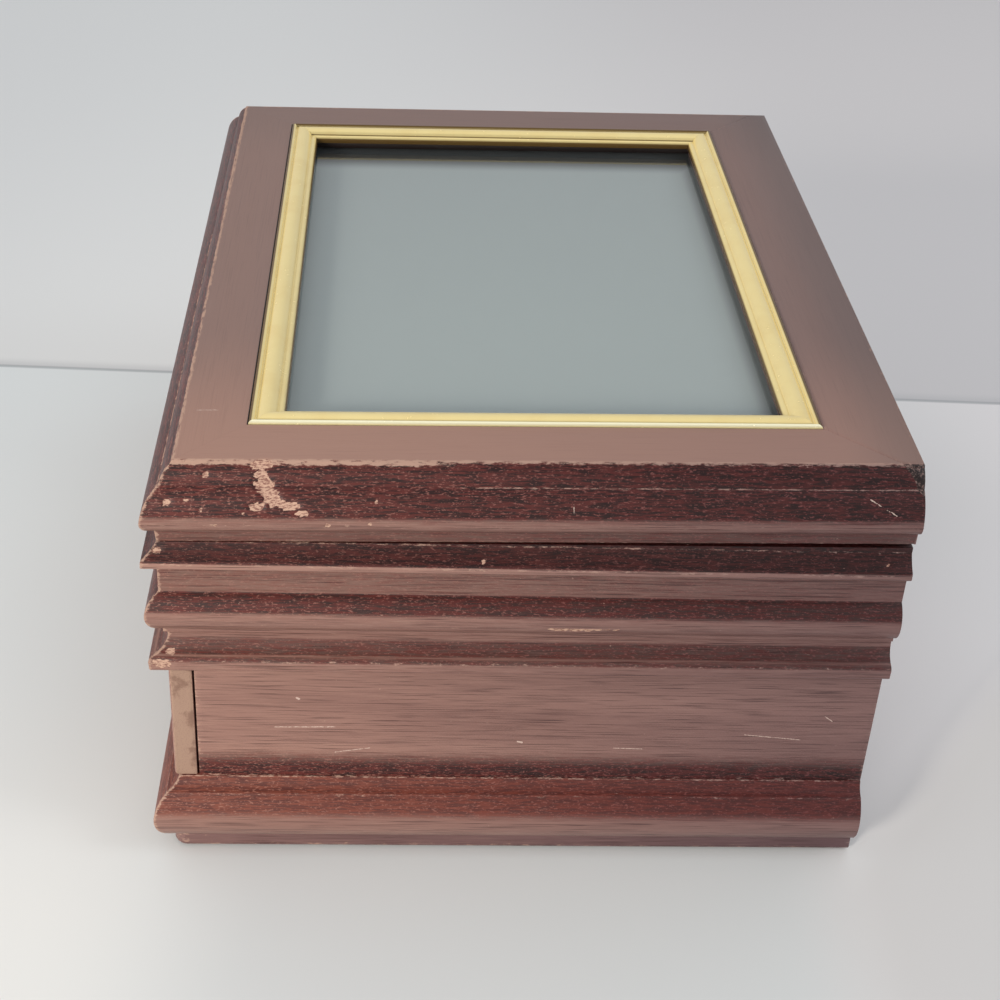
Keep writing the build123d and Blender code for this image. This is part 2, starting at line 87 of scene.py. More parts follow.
LID_MOULDING: tuple[Step, ...] = (
    ((-0.1, -0.1), (0.2, -0.6)),
    ((1.8, -2.3), (2.8, -4.7)),
    ((3.2, -4.9),),
    ((5.6, -7.7), (6.9, -11.4)),
    ((6.7, -13.5), (5.4, -14.8)),
    ((4.3, -14.9),),
    ((4.0, -LID_THICKNESS),),
)
CORNICE_MOULDING: tuple[Step, ...] = (
    ((3.7, 91.2),),
    ((5.2, 89.4), (7.1, 87.9)),
    ((7.2, 86.3),),
    ((6.9, 85.9),),
    ((4.0, 85.6),),
    ((4.0, 77.8),),
    ((7.1, 72.8), (4.9, 68.1)),
    ((3.6, 68.1),),
    ((3.6, 66.1),),
    ((2.8, 65.9),),
    ((3.8, 62.2), (6.1, 60.9)),
    ((6.8, 60.3), (6.9, 59.3)),
    ((6.8, 57.6),),
    ((6.4, 57.2),),
)
BASE_MOULDING: tuple[Step, ...] = (
    ((3.3, 19.5), (5.2, 18.5)),
    ((5.4, 18.1),),
    ((8.2, 12.6), (5.8, 5.7)),
    ((5.2, 5.4),),
)
TRIM_SECTION: tuple[Step, ...] = (
    ((0.05, 0.0),),
    ((0.75, 0.65), (1.5, 0.1)),
    ((1.75, -0.12),),
    ((3.9, 0.65), (6.1, -0.6)),
    ((6.3, -0.85),),
    ((6.9, -0.7), (7.6, -1.2)),
    ((8.0, -1.7),),
    ((8.0, -2.6),),
)
# The knob's profile as (radius, height): its foot, then arcs by middle and end with the points after each
KNOB_FOOT: Step = ((0.0, 0.0), (3.15, 0.0), (3.2, 0.15), (3.2, 0.65), (3.05, 0.8))
KNOB_ARCS: tuple[Step, ...] = (
    ((2.2, 2.2), (3.4, 4.4), (3.62, 4.46), (3.66, 4.6)),
    ((4.55, 5.9), (2.9, 8.2)),
    ((2.0, 8.42), (1.1, 8.5), (0.0, 8.5)),
)


class Side(Enum):
    """The side of the box that a rail lies on, as the quarter turns from the front."""

    FRONT = 0
    RIGHT = 1
    BACK = 2
    LEFT = 3

    @property
    def word(self) -> str:
        """The side as the names of pieces have it."""
        return self.name.lower()

    @property
    def reach(self) -> Point:
        """How far the side's arris lies from the middle of the box, and half its run."""
        return (HALF_WIDTH, HALF_DEPTH) if self.value % 2 else (HALF_DEPTH, HALF_WIDTH)

    @property
    def end_at_back(self) -> int:
        """Which end of the run is square, at the back of the box: -1, 1 or 0 for neither."""
        return {Side.RIGHT: 1, Side.LEFT: -1}.get(self, 0)


MOULDED_SIDES = (Side.FRONT, Side.LEFT, Side.RIGHT)


class Grain(Enum):
    """The axis that a board's grain runs along, with the order of the axes along, across and deep."""

    ALONG_X = (0, 1, 2)
    ALONG_Y = (1, 0, 2)


@dataclass(frozen=True)
class Arris:
    """An edge of a section that hands and knocks wear pale, as (outward, height) and how worn it is."""

    out: float
    height: float
    amount: float
    reach: float = 1.0
    sets_in: float = -200.0
    fades_out: float = 200.0


@dataclass(frozen=True)
class Chip:
    """A place where the finish is knocked off, with its reach along X, Y and Z."""

    centre: Place
    radii: Place
    depth: float = 0.25


@dataclass(frozen=True)
class Scratch:
    """A thin pale line in the finish, between two places on the box."""

    start: Place
    end: Place
    width: float


LID_ARRISES = (
    Arris(-0.3, -0.2, 0.8, 1.0),
    Arris(0.0, -0.5, 0.85, 1.25, fades_out=-30.0),
    # The bead's pale line is wear and a painted highlight along the bead
    Arris(3.0, -4.8, 0.66, 0.42, sets_in=-35.0),
    Arris(6.9, -12.4, 0.3, 1.4),
    Arris(5.0, -14.9, 0.45, 0.7),
    Arris(4.0, -18.5, 0.5, 0.6),
)
CORNICE_ARRISES = (
    Arris(3.7, 91.4, 0.5, 0.6),
    Arris(7.15, 87.2, 0.58, 0.7),
    Arris(7.0, 86.0, 0.5, 0.5),
    Arris(6.5, 71.0, 0.3, 1.4),
    Arris(5.0, 68.2, 0.6, 0.7),
    Arris(3.6, 66.0, 0.45, 0.5),
    Arris(6.8, 60.2, 0.42, 0.9),
    Arris(6.8, 57.5, 0.25, 0.6),
)
BASE_ARRISES = (
    Arris(2.3, 21.5, 0.62, 0.6),
    Arris(5.3, 18.3, 0.42, 0.45),
    Arris(5.6, 5.6, 0.35, 0.7),
)
LID_CHIPS = (
    Chip((105.9, -63.0, 109.6), (1.6, 2.6, 1.6), 0.2),
    Chip((107.2, -63.2, 107.9), (1.3, 2.0, 1.2), 0.1),
    Chip((108.4, -62.6, 106.2), (1.4, 2.5, 1.5)),
    Chip((109.5, -61.4, 104.8), (1.4, 2.5, 1.5), 0.3),
    Chip((110.9, -60.2, 103.1), (1.4, 3.0, 1.1), 0.3),
    Chip((111.4, -63.8, 102.1), (1.4, 1.9, 0.9)),
    Chip((111.2, -57.0, 102.4), (1.4, 2.6, 0.9)),
    Chip((111.9, -54.4, 100.9), (1.2, 1.8, 0.6), 0.2),
)
LID_SPOTS = tuple(Chip(centre, (size, size, size), 0.15) for centre, size in (
    ((107.5, -75.1, 107.6), 0.8),
    ((111.0, -83.3, 102.5), 0.9),
    ((112.5, -72.9, 98.0), 0.5),
    ((110.6, -79.0, 103.0), 0.6),
    ((111.6, -76.0, 101.3), 0.5),
    ((112.3, -48.5, 98.4), 0.6),
    ((112.3, -39.5, 98.8), 0.6),
    ((111.0, -38.0, 103.6), 0.5),
    ((111.9, -67.0, 100.6), 0.4),
))
CORNICE_CHIPS = (
    Chip((111.3, -14.2, 88.8), (0.8, 0.5, 0.9)),
    Chip((112.3, 8.0, 70.6), (1.0, 9.0, 0.5)),
    Chip((112.4, -86.5, 59.4), (1.6, 2.6, 1.4)),
    Chip((110.3, -84.6, 61.6), (1.0, 1.3, 1.5)),
    Chip((110.5, -86.3, 89.6), (1.2, 1.0, 0.8)),
    Chip((110.9, 77.0, 89.2), (0.35, 0.5, 0.35)),
)
SCRATCHES = (
    Scratch((84.2, -79.0, 110.1), (84.1, -74.3, 110.1), 0.16),
    Scratch((110.1, 70.4, 106.1), (111.8, 76.3, 103.1), 0.22),
    Scratch((107.7, -61.5, 37.0), (107.7, -47.2, 37.2), 0.17),
    Scratch((107.7, -47.2, 29.3), (107.7, -38.9, 30.7), 0.14),
    Scratch((107.7, 51.7, 36.0), (107.7, 65.4, 34.6), 0.14),
    Scratch((110.9, 4.8, 103.9), (111.8, 4.9, 102.1), 0.16),
    Scratch((111.5, -68.9, 75.4), (111.4, -68.1, 76.9), 0.2),
    Scratch((107.7, -56.1, 45.9), (107.7, -55.7, 45.6), 0.42),
    Scratch((107.7, -3.3, 33.1), (107.7, -2.3, 32.9), 0.35),
    Scratch((107.7, 20.0, 31.4), (107.7, 27.0, 31.2), 0.12),
    Scratch((107.7, 70.5, 42.0), (107.7, 72.5, 40.5), 0.14),
    Scratch((112.1, -74.5, 102.6), (112.3, -74.3, 101.2), 0.14),
    Scratch((112.3, -75.6, 101.8), (112.4, -75.5, 101.0), 0.12),
)
# How wide the dark line is at each trim's outer edge, and how deep the dirt and painted shade are in its
# grooves
TRIM_DIRT_AND_SHADE = {Side.FRONT: (0.9, 0.0), Side.BACK: (1.1, 0.0), Side.LEFT: (1.6, 0.9), Side.RIGHT: (0.0, 0.8)}


def paint(red: float, green: float, blue: float) -> Colour:
    """Turns a colour from a 0 to 255 swatch into the shader's own scale.

    Args:
        red: The swatch's red.
        green: The swatch's green.
        blue: The swatch's blue.

    Returns:
        The colour as linear red, green, blue and full opacity.
    """
    linear = [((c / 255 + 0.055) / 1.055) ** 2.4 if c > 10 else c / 255 / 12.92 for c in (red, green, blue)]
    return (linear[0], linear[1], linear[2], 1.0)


def smooth(low: float, high: float, value: float) -> float:
    """Eases from 0 below low to 1 above high."""
    share = min(1.0, max(0.0, (value - low) / (high - low)))
    return share * share * (3 - 2 * share)


def arc_points(start: Point, middle: Point, end: Point, spacing: float) -> list[Point]:
    """Lays points along the arc through three points.

    Args:
        start: Where the arc begins; it isn't repeated in the result.
        middle: A point on the arc.
        end: The arc's last point.
        spacing: The distance between points.

    Returns:
        The points after the start, the end among them.
    """
    (ax, ay), (bx, by), (cx, cy) = start, middle, end
    double = 2 * (ax * (by - cy) + bx * (cy - ay) + cx * (ay - by))
    a2, b2, c2 = ax * ax + ay * ay, bx * bx + by * by, cx * cx + cy * cy
    centre = Vector((
        (a2 * (by - cy) + b2 * (cy - ay) + c2 * (ay - by)) / double,
        (a2 * (cx - bx) + b2 * (ax - cx) + c2 * (bx - ax)) / double,
    ))
    arm, half_way, last = Vector(start) - centre, Vector(middle) - centre, Vector(end) - centre
    sweep = arm.angle_signed(half_way) + half_way.angle_signed(last)
    count = max(3, math.ceil(abs(sweep) * arm.length / spacing))
    turned = [Matrix.Rotation(-sweep * index / count, 2) @ arm for index in range(1, count + 1)]
    return [(centre.x + spoke.x, centre.y + spoke.y) for spoke in turned]


def trace(start: Point, steps: Sequence[Step], spacing: float) -> list[Point]:
    """Lays points along a section made of lines and arcs.

    Args:
        start: The section's first point.
        steps: The line ends, and the arcs as a middle and an end.
        spacing: The greatest distance between points.

    Returns:
        Every point from the start to the last end.
    """
    points = [start]
    for step in steps:
        here = points[-1]
        if len(step) == 2:
            points += arc_points(here, step[0], step[1], spacing)
            continue
        run = Vector(step[0]) - Vector(here)
        count = max(1, math.ceil(run.length / spacing))
        points += [(here[0] + run.x * i / count, here[1] + run.y * i / count) for i in range(1, count + 1)]
    return points


def tipped(height: float, angle: float) -> Matrix:
    """The move up to a height at the front, tipped about that front edge so that the back rises."""
    lift = Matrix.Translation((0, -HALF_DEPTH, height))
    return lift @ Matrix.Rotation(angle, 4, "X") @ Matrix.Translation((0, HALF_DEPTH, 0))


LID_PLACE = tipped(FRONT_HEIGHT, LID_TILT)
RIM_PLACE = tipped(RIM_FRONT_HEIGHT, RIM_SLOPE)


def upward(vert: Vert) -> Point:
    """How level the surface is at a point, and how much it tilts upward short of that."""
    level = smooth(*LEVEL, vert.normal.z)
    return level, smooth(*TILTED, vert.normal.z) * (1 - level)


def tilt_at(vert: Vert) -> Place:
    """How far a point lies outside the sides' arris, its height, and how much it tilts upward."""
    return abs(vert.co.x) - HALF_WIDTH, vert.co.z, upward(vert)[1]


def spot(node: str) -> tuple[Vector, Vector]:
    """A CAD node's lowest and highest corner in millimetres."""
    low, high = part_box(node)
    return low / METRES, high / METRES


def verts_of(faces: Iterable[Face]) -> set[Vert]:
    """Every corner of some faces, once."""
    return {vert for face in faces for vert in face.verts}


def pull(bm: bmesh.types.BMesh, edges: Sequence[Edge], move: Matrix) -> list[Edge]:
    """Extrudes edges into a band of faces.

    Args:
        bm: The mesh that they are in.
        edges: The edges.
        move: Where the band's far side goes.

    Returns:
        The edges on the band's far side.
    """
    band = bmesh.ops.extrude_edge_only(bm, edges=edges)["geom"]
    far = [item for item in band if isinstance(item, Vert)]
    bmesh.ops.transform(bm, matrix=move, verts=far)
    return [item for item in band if isinstance(item, Edge) and all(vert in far for vert in item.verts)]


def put(name: str, data: bpy.types.ID, place: Matrix) -> bpy.types.Object:
    """Puts a new object into the scene.

    Args:
        name: Its name.
        data: Its mesh, lamp or camera.
        place: Where it is and how it is turned.

    Returns:
        The object.
    """
    thing = bpy.data.objects.new(name, data)
    thing.matrix_world = place
    bpy.context.scene.collection.objects.link(thing)
    return thing


@dataclass(frozen=True)
class Value:
    """A number, vector or colour that a node tree works out at every point."""

    graph: "Graph"
    socket: bpy.types.NodeSocket

    def __add__(self, other: "Feed") -> "Value":
        """The sum."""
        return self.graph.math("ADD", self, other)

    def __sub__(self, other: "Feed") -> "Value":
        """The difference."""
        return self.graph.math("SUBTRACT", self, other)

    def __rsub__(self, other: float) -> "Value":
        """What a number has more than this."""
        return self.graph.math("SUBTRACT", other, self)

    def __mul__(self, other: "Feed") -> "Value":
        """The product."""
        return self.graph.math("MULTIPLY", self, other)

    def at_least(self, other: "Feed") -> "Value":
        """The greater of the two."""
        return self.graph.math("MAXIMUM", self, other)

    def band(self, low: float, high: float, to_low: float = 0.0, to_high: float = 1.0) -> "Value":
        """Eases the value between two limits onto another range."""
        feeds = {"Value": self, "From Min": low, "From Max": high, "To Min": to_low, "To Max": to_high}
        return self.graph.value("MapRange", feeds, "Result", interpolation_type="SMOOTHSTEP")

    def vector(self, operation: str, other: "Feed", output: str = "Vector") -> "Value":
        """One step of vector arithmetic."""
        return self.graph.value("VectorMath", {0: self, 1: other}, output, operation=operation)

    def axes(self) -> list["Value"]:
        """The vector's X, Y and Z."""
        return [Value(self.graph, socket) for socket in self.graph.add("SeparateXYZ", {0: self}).outputs]

    def noise(self, scale: Union[float, Place], detail: float = 3.0, roughness: float = 0.5,
              distortion: float = 0.0) -> "Value":
        """Fills the vector's space with cloudy noise.

        Args:
            scale: The noise's fineness, in all directions or by axis.
            detail: How many times finer noise is laid over it.
            roughness: How strong the finer noise is.
            distortion: How much the clouds are warped.

        Returns:
            The noise from 0 to 1, mostly between 0.3 and 0.7.
        """
        by_axis = isinstance(scale, tuple)
        feeds = {"Vector": self.vector("MULTIPLY", scale) if by_axis else self,
                 "Scale": 1.0 if by_axis else scale,
                 "Detail": detail, "Roughness": roughness, "Distortion": distortion}
        return self.graph.value("TexNoise", feeds, "Fac")

    def under(self, share: "Feed", colour: "Feed", blend: str = "MIX") -> "Value":
        """The colour with a share of another over it."""
        return self.graph.mix(share, self, colour, blend)

    def bump(self, distance: float, strength: float, below: Optional["Value"] = None) -> "Value":
        """Turns a height from 0 to 1 into a normal.

        Args:
            distance: How many millimetres stand for 1.
            strength: How strongly it shows.
            below: The normal that it lies on, if not the surface's own.

        Returns:
            The normal.
        """
        feeds = {"Height": self, "Distance": distance * METRES, "Strength": strength}
        if below:
            feeds["Normal"] = below
        return self.graph.value("Bump", feeds)


Feed = Union[Value, float, Sequence[float]]
Owner = Union[bpy.types.Material, bpy.types.World]


class Graph:
    """The node tree of a material or a world, built call by call."""

    def __init__(self, owner: Owner, output: str = "OutputMaterial") -> None:
        """Empties the owner's tree and adds its output.

        Args:
            owner: The material or the world.
            output: The output's type without the ShaderNode in front.
        """
        owner.use_nodes = True
        self.tree = owner.node_tree
        self.tree.nodes.clear()
        self.output = self.add(output)

    def add(self, kind: str, feeds: Optional[dict] = None, **settings: object) -> bpy.types.Node:
        """Adds a node.

        Args:
            kind: Its type without the ShaderNode in front.
            feeds: Values or plain numbers by input name or number.
            **settings: The node's own properties.

        Returns:
            The node.
        """
        node = self.tree.nodes.new("ShaderNode" + kind)
        for key, setting in settings.items():
            setattr(node, key, setting)
        for key, feed in (feeds or {}).items():
            if isinstance(feed, Value):
                self.tree.links.new(feed.socket, node.inputs[key])
            else:
                node.inputs[key].default_value = feed
        return node

    def value(self, kind: str, feeds: Optional[dict] = None, output: Union[str, int] = 0,
              **settings: object) -> Value:
        """Adds a node and takes one of its outputs."""
        return Value(self, self.add(kind, feeds, **settings).outputs[output])

    def math(self, operation: str, *values: Feed) -> Value:
        """One step of arithmetic."""
        return self.value("Math", dict(enumerate(values)), operation=operation)

    def mix(self, share: Feed, first: Feed, second: Feed, blend: str = "MIX") -> Value:
        """A colour with a share of a second one over it."""
        return self.value("Mix", {0: share, 6: first, 7: second}, 2, data_type="RGBA", blend_type=blend)

    def painted(self, layer: str, output: str = "Fac") -> Value:
        """What was painted on the mesh under that name."""
        return self.value("Attribute", output=output, attribute_name=layer)

    def place(self) -> Value:
        """The point's place on the box in millimetres."""
        return self.value("TexCoord", output="Object").vector("MULTIPLY", (1 / METRES,) * 3)

    def ray(self, *kinds: str) -> Value:
        """Tells rays of some kinds from the others.

        Args:
            *kinds: The kinds, as the light path names them.

        Returns:
            1 for rays of these kinds and 0 for the others.
        """
        outputs = self.add("LightPath").outputs
        total, *rest = [Value(self, outputs[f"Is {kind} Ray"]) for kind in kinds]
        for kind in rest:
            total = total.at_least(kind)
        return total

    def show(self, surface: Value) -> None:
        """Makes a shader the tree's result."""
        self.tree.links.new(surface.socket, self.output.inputs["Surface"])

    def close(self, **feeds: Feed) -> Value:
        """Ends the tree with a principled shader.

        Args:
            **feeds: Its inputs by name, with _ for a space.

        Returns:
            The shader.
        """
        shader = self.value("BsdfPrincipled", {key.replace("_", " "): feed for key, feed in feeds.items()})
        self.show(shader)
        return shader


@dataclass(frozen=True)
class Finish:
    """What a piece's surface is made of, and the record's slot for it."""

    name: str
    slot: str

    @cached_property
    def material(self) -> bpy.types.Material:
        """Mixes the finish when it is first used.

        Returns:
            The finish as a material.
        """
        material = bpy.data.materials.new(self.name)
        self.mix(Graph(material))
        return material

    def mix(self, graph: Graph) -> None:
        """Builds the finish's node tree."""
        raise NotImplementedError


@dataclass(frozen=True)
class StainedWood(Finish):
    """Reddish-brown stained wood under a worn satin lacquer, with open pores and pale bruised arrises,
    painted shade where it tilts upward, a painted sheen on level tops and a painted falloff of the light
    towards the back.
    """

    pale: Colour = paint(152, 114, 101)
    deep: Colour = paint(130, 94, 84)
    pore: Colour = paint(72, 42, 38)
    # Painted sheen: the flat tone of level tops, lighter on their near part where the light falls
    calm: Colour = paint(126, 99, 90)
    calm_near: Colour = paint(156, 118, 102)
    # Painted shade: the dark tone where the wood tilts upward or lies in shade, with its pores and paler
    # flecks; dirt beside the trim and the deepest shade go near black
    glaze: Colour = paint(88, 31, 24)
    glaze_pore: Colour = paint(38, 7, 6)
    glaze_pale: Colour = paint(140, 92, 80)
    glaze_aged: Colour = (0.87, 0.58, 0.67, 1.0)
    grime: Colour = paint(20, 19, 16)
    # Painted falloff of the light towards the back, and painted shade on the level tops towards the far side
    # and the back
    aged: Colour = (0.56, 0.56, 0.67, 1.0)
    soiled: Colour = (0.72, 0.78, 0.82, 1.0)
    worn: Colour = paint(176, 142, 124)
    bare: Colour = paint(186, 150, 130)
    bare_shade: Colour = paint(126, 86, 74)
    scuff: Colour = paint(230, 206, 192)
    end_grain: Colour = paint(156, 126, 108)
    end_stain: Colour = paint(118, 86, 72)
    scratches: tuple[Scratch, ...] = ()

    def scratched(self, graph: Graph, colour: Value) -> Value:
        """Draws the scratches over a colour.

        Args:
            graph: The finish's tree.
            colour: The colour without them.

        Returns:
            The colour with them.
        """
        if not self.scratches:
            return colour
        place = graph.place()
        ragged = place.noise(1.4, 2.0)
        masks = []
        for scratch in self.scratches:
            run = Vector(scratch.end) - Vector(scratch.start)
            arm = place.vector("SUBTRACT", scratch.start)
            share = arm.vector("DOT_PRODUCT", tuple(run / run.length_squared), "Value")
            share = graph.value("Clamp", {"Value": share})
            foot = graph.value("VectorMath", {0: tuple(run), 3: share}, operation="SCALE")
            uneven = ragged * (scratch.width * 2.6) + scratch.width * -0.7
            masks.append(graph.math("LESS_THAN", arm.vector("DISTANCE", foot, "Value"), uneven))
        total, *rest = masks
        for mask in rest:
            total = total.at_least(mask)
        return colour.under(total * 0.5, self.scuff)

    def mix(self, graph: Graph) -> None:
        """Builds the tree: sound wood, a painted sheen on level tops, painted shade and dirt over it, wear,
        a painted falloff of the light towards the back, chips, scratches and bare ends.

        Args:
            graph: The material's tree.
        """
        grain = graph.painted("grain", "Vector")
        worn, shade_and_dirt_amount, bared, raw, calm = (graph.painted(layer) for layer in Workpiece.PAINTS)
        x, y, _ = graph.place().axes()
        toward_back = y.band(-82.0, 88.0)

        fine = grain.noise((0.06, 3.2, 3.2), 3.0, 0.6)
        broad = grain.noise((0.006, 0.07, 0.07), 3.0, 0.5, 0.4)
        pores = grain.noise((0.06, 4.8, 4.8), 2.0, 0.5, 0.2)
        open_pore = pores.band(0.45, 0.34)
        sound = graph.mix((fine * 0.4 + broad * 0.7).band(0.34, 0.7), self.deep, self.pale)
        sound = sound.under(open_pore * 0.75, self.pore).under(pores.band(0.64, 0.7, 0.0, 0.35), self.worn)
        # Painted sheen on the level tops, lighter on the near part where the light falls, with painted shade
        # towards the far side
        level = graph.mix(x.band(40.0, 104.0), self.calm, self.calm_near)
        level = level.under(x.band(-60.0, -104.0, 0.0, 0.5), self.soiled, "MULTIPLY")
        sound = sound.under(calm * 0.86, level)

        thread = grain.noise((0.2, 2.2, 2.2), 3.0, 0.65, 0.3)
        crumb = grain.noise((1.1, 3.0, 3.0), 2.0, 0.7)
        # Painted shade and dirt: the dark tone, darker towards the back as a painted falloff, and near black
        # where the shade is deepest and by the trim
        dark = graph.mix(thread.band(0.41, 0.59), self.glaze_pore, self.glaze)
        dark = dark.under(crumb.band(0.57, 0.64, 0.0, 0.75), self.glaze_pale)
        dark = dark.under(toward_back, self.glaze_aged, "MULTIPLY")
        dark = dark.under(shade_and_dirt_amount.band(1.0, 2.0), self.glaze_pore).under(shade_and_dirt_amount.band(2.0, 3.0), self.grime)
        shade_share = thread * 0.5 + (broad * 0.4 + (shade_and_dirt_amount - 0.45))
        colour = sound.under(shade_share.band(0.05, 0.85), dark)
        # Painted shade on the level tops towards the back
        colour = colour.under(calm * y.band(64.0, 82.0), self.soiled, "MULTIPLY")

        ragged = grain.noise((0.4, 1.3, 1.3), 6.0, 0.8)
        rubbed = (worn + (ragged * 2.4 - 1.2)).band(0.42, 0.7)
        flecks = grain.noise((0.7, 1.1, 1.1), 2.0, 0.6)
        colour = colour.under(rubbed * 0.85, self.worn)
        colour = colour.under(flecks.band(0.75, 0.79, 0.0, 0.7) * (1.0 - calm), self.worn)
        # Painted falloff of the light: darker and cooler towards the back, less on the level tops
        colour = colour.under(toward_back * (calm * -0.56 + 1.0), self.aged, "MULTIPLY")

        torn = (bared + (ragged * 1.7 - 0.85)).band(0.44, 0.52)
        colour = colour.under(torn, graph.mix(crumb.band(0.38, 0.56), self.bare_shade, self.bare))
        colour = self.scratched(graph, colour)

        smudge = grain.noise(0.16, 4.0, 0.6)
        sawn = raw.band(0.45, 0.55)
        end = graph.mix(smudge.band(0.5, 0.62, 0.0, 0.7), self.end_grain, self.end_stain)
        colour = colour.under(sawn, end.under(open_pore * 0.3, self.pore))

        matt = rubbed.at_least(torn).at_least(sawn)
        rough = matt * 0.3 + broad.band(0.3, 0.7, 0.4, 0.48)
        height = (fine * 0.4 - open_pore * 0.6) * (calm * -0.7 + 1.0)
        normal = (torn * -1.0).bump(0.15, 0.6, height.bump(0.06, 0.5))
        graph.close(Base_Color=colour, Roughness=rough, Normal=normal)


@dataclass(frozen=True)
class PlainWood(Finish):
    """Unfinished sheet wood for what lies inside."""

    pale: Colour = paint(205, 176, 140)
    deep: Colour = paint(172, 138, 102)

    def mix(self, graph: Graph) -> None:
        """Builds the tree.

        Args:
            graph: The material's tree.
        """
        grain = graph.painted("grain", "Vector")
        fine = grain.noise((0.03, 0.9, 0.9), 5.0, 0.6)
        fibre = grain.noise((0.2, 4.0, 4.0), 3.0, 0.6)
        colour = graph.mix(fine.band(0.35, 0.65), self.deep, self.pale)
        colour = colour.under(fibre.band(0.55, 0.75, 0.0, 0.35), self.deep)
        rough = fibre.band(0.3, 0.7, 0.6, 0.75)
        graph.close(Base_Color=colour, Roughness=rough, Normal=fibre.bump(0.05, 0.5))


@dataclass(frozen=True)
class Metal(Finish):
    """Gilt, brass or steel with fine rubbing and tarnish where it isn't touched; the gilt trim adds dirt and
    painted shade, and a painted highlight, from its painted layers.
    """

    bright: Colour
    dull: Colour
    rough: float
    tarnish: float
    metallic: float = 1.0
    dirt: Colour = paint(104, 80, 42)
    shine: Colour = paint(255, 250, 214)

    def mix(self, graph: Graph) -> None:
        """Builds the tree.

        Args:
            graph: The material's tree.
        """
        place = graph.place()
        cloud = place.noise(0.12, 4.0, 0.6)
        rub = place.noise((0.9, 0.5, 0.9), 2.0)
        spots = place.noise(1.1, 3.0, 0.6).band(0.66, 0.74, 0.0, self.tarnish)
        colour = graph.mix(cloud.band(0.4, 0.7, 0.0, 0.6), self.bright, self.dull).under(spots, self.dull)
        # The gilt trim's dirt and painted shade, then its painted highlight
        colour = colour.under(graph.painted("glaze"), self.dirt).under(graph.painted("calm"), self.shine)
        rough = rub * 0.1 + (spots * 0.25 + self.rough)
        graph.close(Base_Color=colour, Metallic=self.metallic, Roughness=rough, Normal=rub.bump(0.008, 0.15))


@dataclass(frozen=True)
class Felt(Finish):
    """Short-napped felt with a brushed pile."""

    nap: Colour = paint(112, 26, 38)
    shade: Colour = paint(72, 12, 24)
    sheen: Colour = paint(214, 150, 150)

    def mix(self, graph: Graph) -> None:
        """Builds the tree.

        Args:
            graph: The material's tree.
        """
        place = graph.place()
        pile = place.noise(2.6, 4.0, 0.75)
        brushed = place.noise((0.05, 0.12, 0.12), 3.0, 0.6)
        colour = graph.mix(pile.band(0.35, 0.65), self.shade, self.nap)
        colour = colour.under(brushed.band(0.35, 0.65, 0.0, 0.35), self.shade)
        graph.close(Base_Color=colour, Roughness=pile.band(0.3, 0.7, 0.8, 0.95), Normal=pile.bump(0.25, 0.8),
                    Sheen_Weight=0.5, Sheen_Roughness=0.4, Sheen_Tint=self.sheen)


@dataclass(frozen=True)
class Card(Finish):
    """Matt grey-green card under the glass, dark in the shade of the frame."""

    base: Colour = paint(157, 160, 162)
    shade: Colour = paint(147, 150, 153)
    faded: Colour = paint(162, 165, 165)
    gloom: Colour = paint(34, 34, 37)

    def mix(self, graph: Graph) -> None:
        """Builds the tree.

        Args:
            graph: The material's tree.
        """
        place = graph.place()
        x, y, _ = place.axes()
        fibre = place.noise(3.5, 4.0, 0.7)
        colour = graph.mix(fibre.band(0.3, 0.7, 0.0, 0.12), self.base, self.shade)
        colour = colour.under(place.noise(0.02).band(0.35, 0.7, 0.0, 0.15), self.faded)
        colour = colour.under(x.band(50.0, -80.0, 0.0, 0.7), self.shade)
        edge = x.band(-67.5, -77.0).at_least(y.band(50.5, 55.0) * 0.6)
        colour = colour.under(edge * 0.92, self.gloom)
        graph.close(Base_Color=colour, Roughness=fibre.band(0.3, 0.7, 0.7, 0.8))


@dataclass(frozen=True)
class SheetGlass(Finish):
    """Clear sheet glass with a faint film of dust."""

    tint: Colour = paint(246, 251, 249)

    def mix(self, graph: Graph) -> None:
        """Builds the tree, in which the light of lamps and of the room passes the glass unbent.

        Args:
            graph: The material's tree.
        """
        rough = graph.place().noise(0.05, 5.0, 0.6).band(0.4, 0.75, 0.01, 0.06)
        glass = graph.close(Base_Color=self.tint, Roughness=rough, Transmission_Weight=1.0, IOR=1.4)
        clear = graph.value("BsdfTransparent", {"Color": self.tint})
        graph.show(graph.value("MixShader", {0: graph.ray("Shadow", "Diffuse"), 1: glass, 2: clear}))


WOOD = StainedWood("stained_wood", "stained_wood")
SHOWN_WOOD = StainedWood("stained_wood_shown", "stained_wood", scratches=SCRATCHES)
# The base's painted shade is lighter and redder
BASE_WOOD = StainedWood("stained_wood_base", "stained_wood", glaze=paint(116, 58, 42),
                        glaze_pore=paint(82, 34, 26), glaze_pale=paint(148, 98, 82),
                        glaze_aged=(0.8, 0.48, 0.58, 1.0))
PLINTH_WOOD = StainedWood("plinth_wood", "dark_wood", pale=paint(120, 88, 84), deep=paint(98, 68, 66))
PLAIN_WOOD = PlainWood("plain_wood", "plain_wood")
GILT = Metal("gilt_trim", "gilt_metal", paint(242, 222, 158), paint(236, 212, 146), 0.2, 0.08, 0.45)
BRASS = Metal("brass", "brass", paint(220, 184, 108), paint(160, 122, 66), 0.28, 0.5)
STEEL = Metal("steel", "steel", paint(190, 190, 188), paint(140, 138, 134), 0.32, 0.4)
FELT = Felt("felt", "felt")
CARD = Card("mount_card", "card")
GLASS = SheetGlass("sheet_glass", "glass")


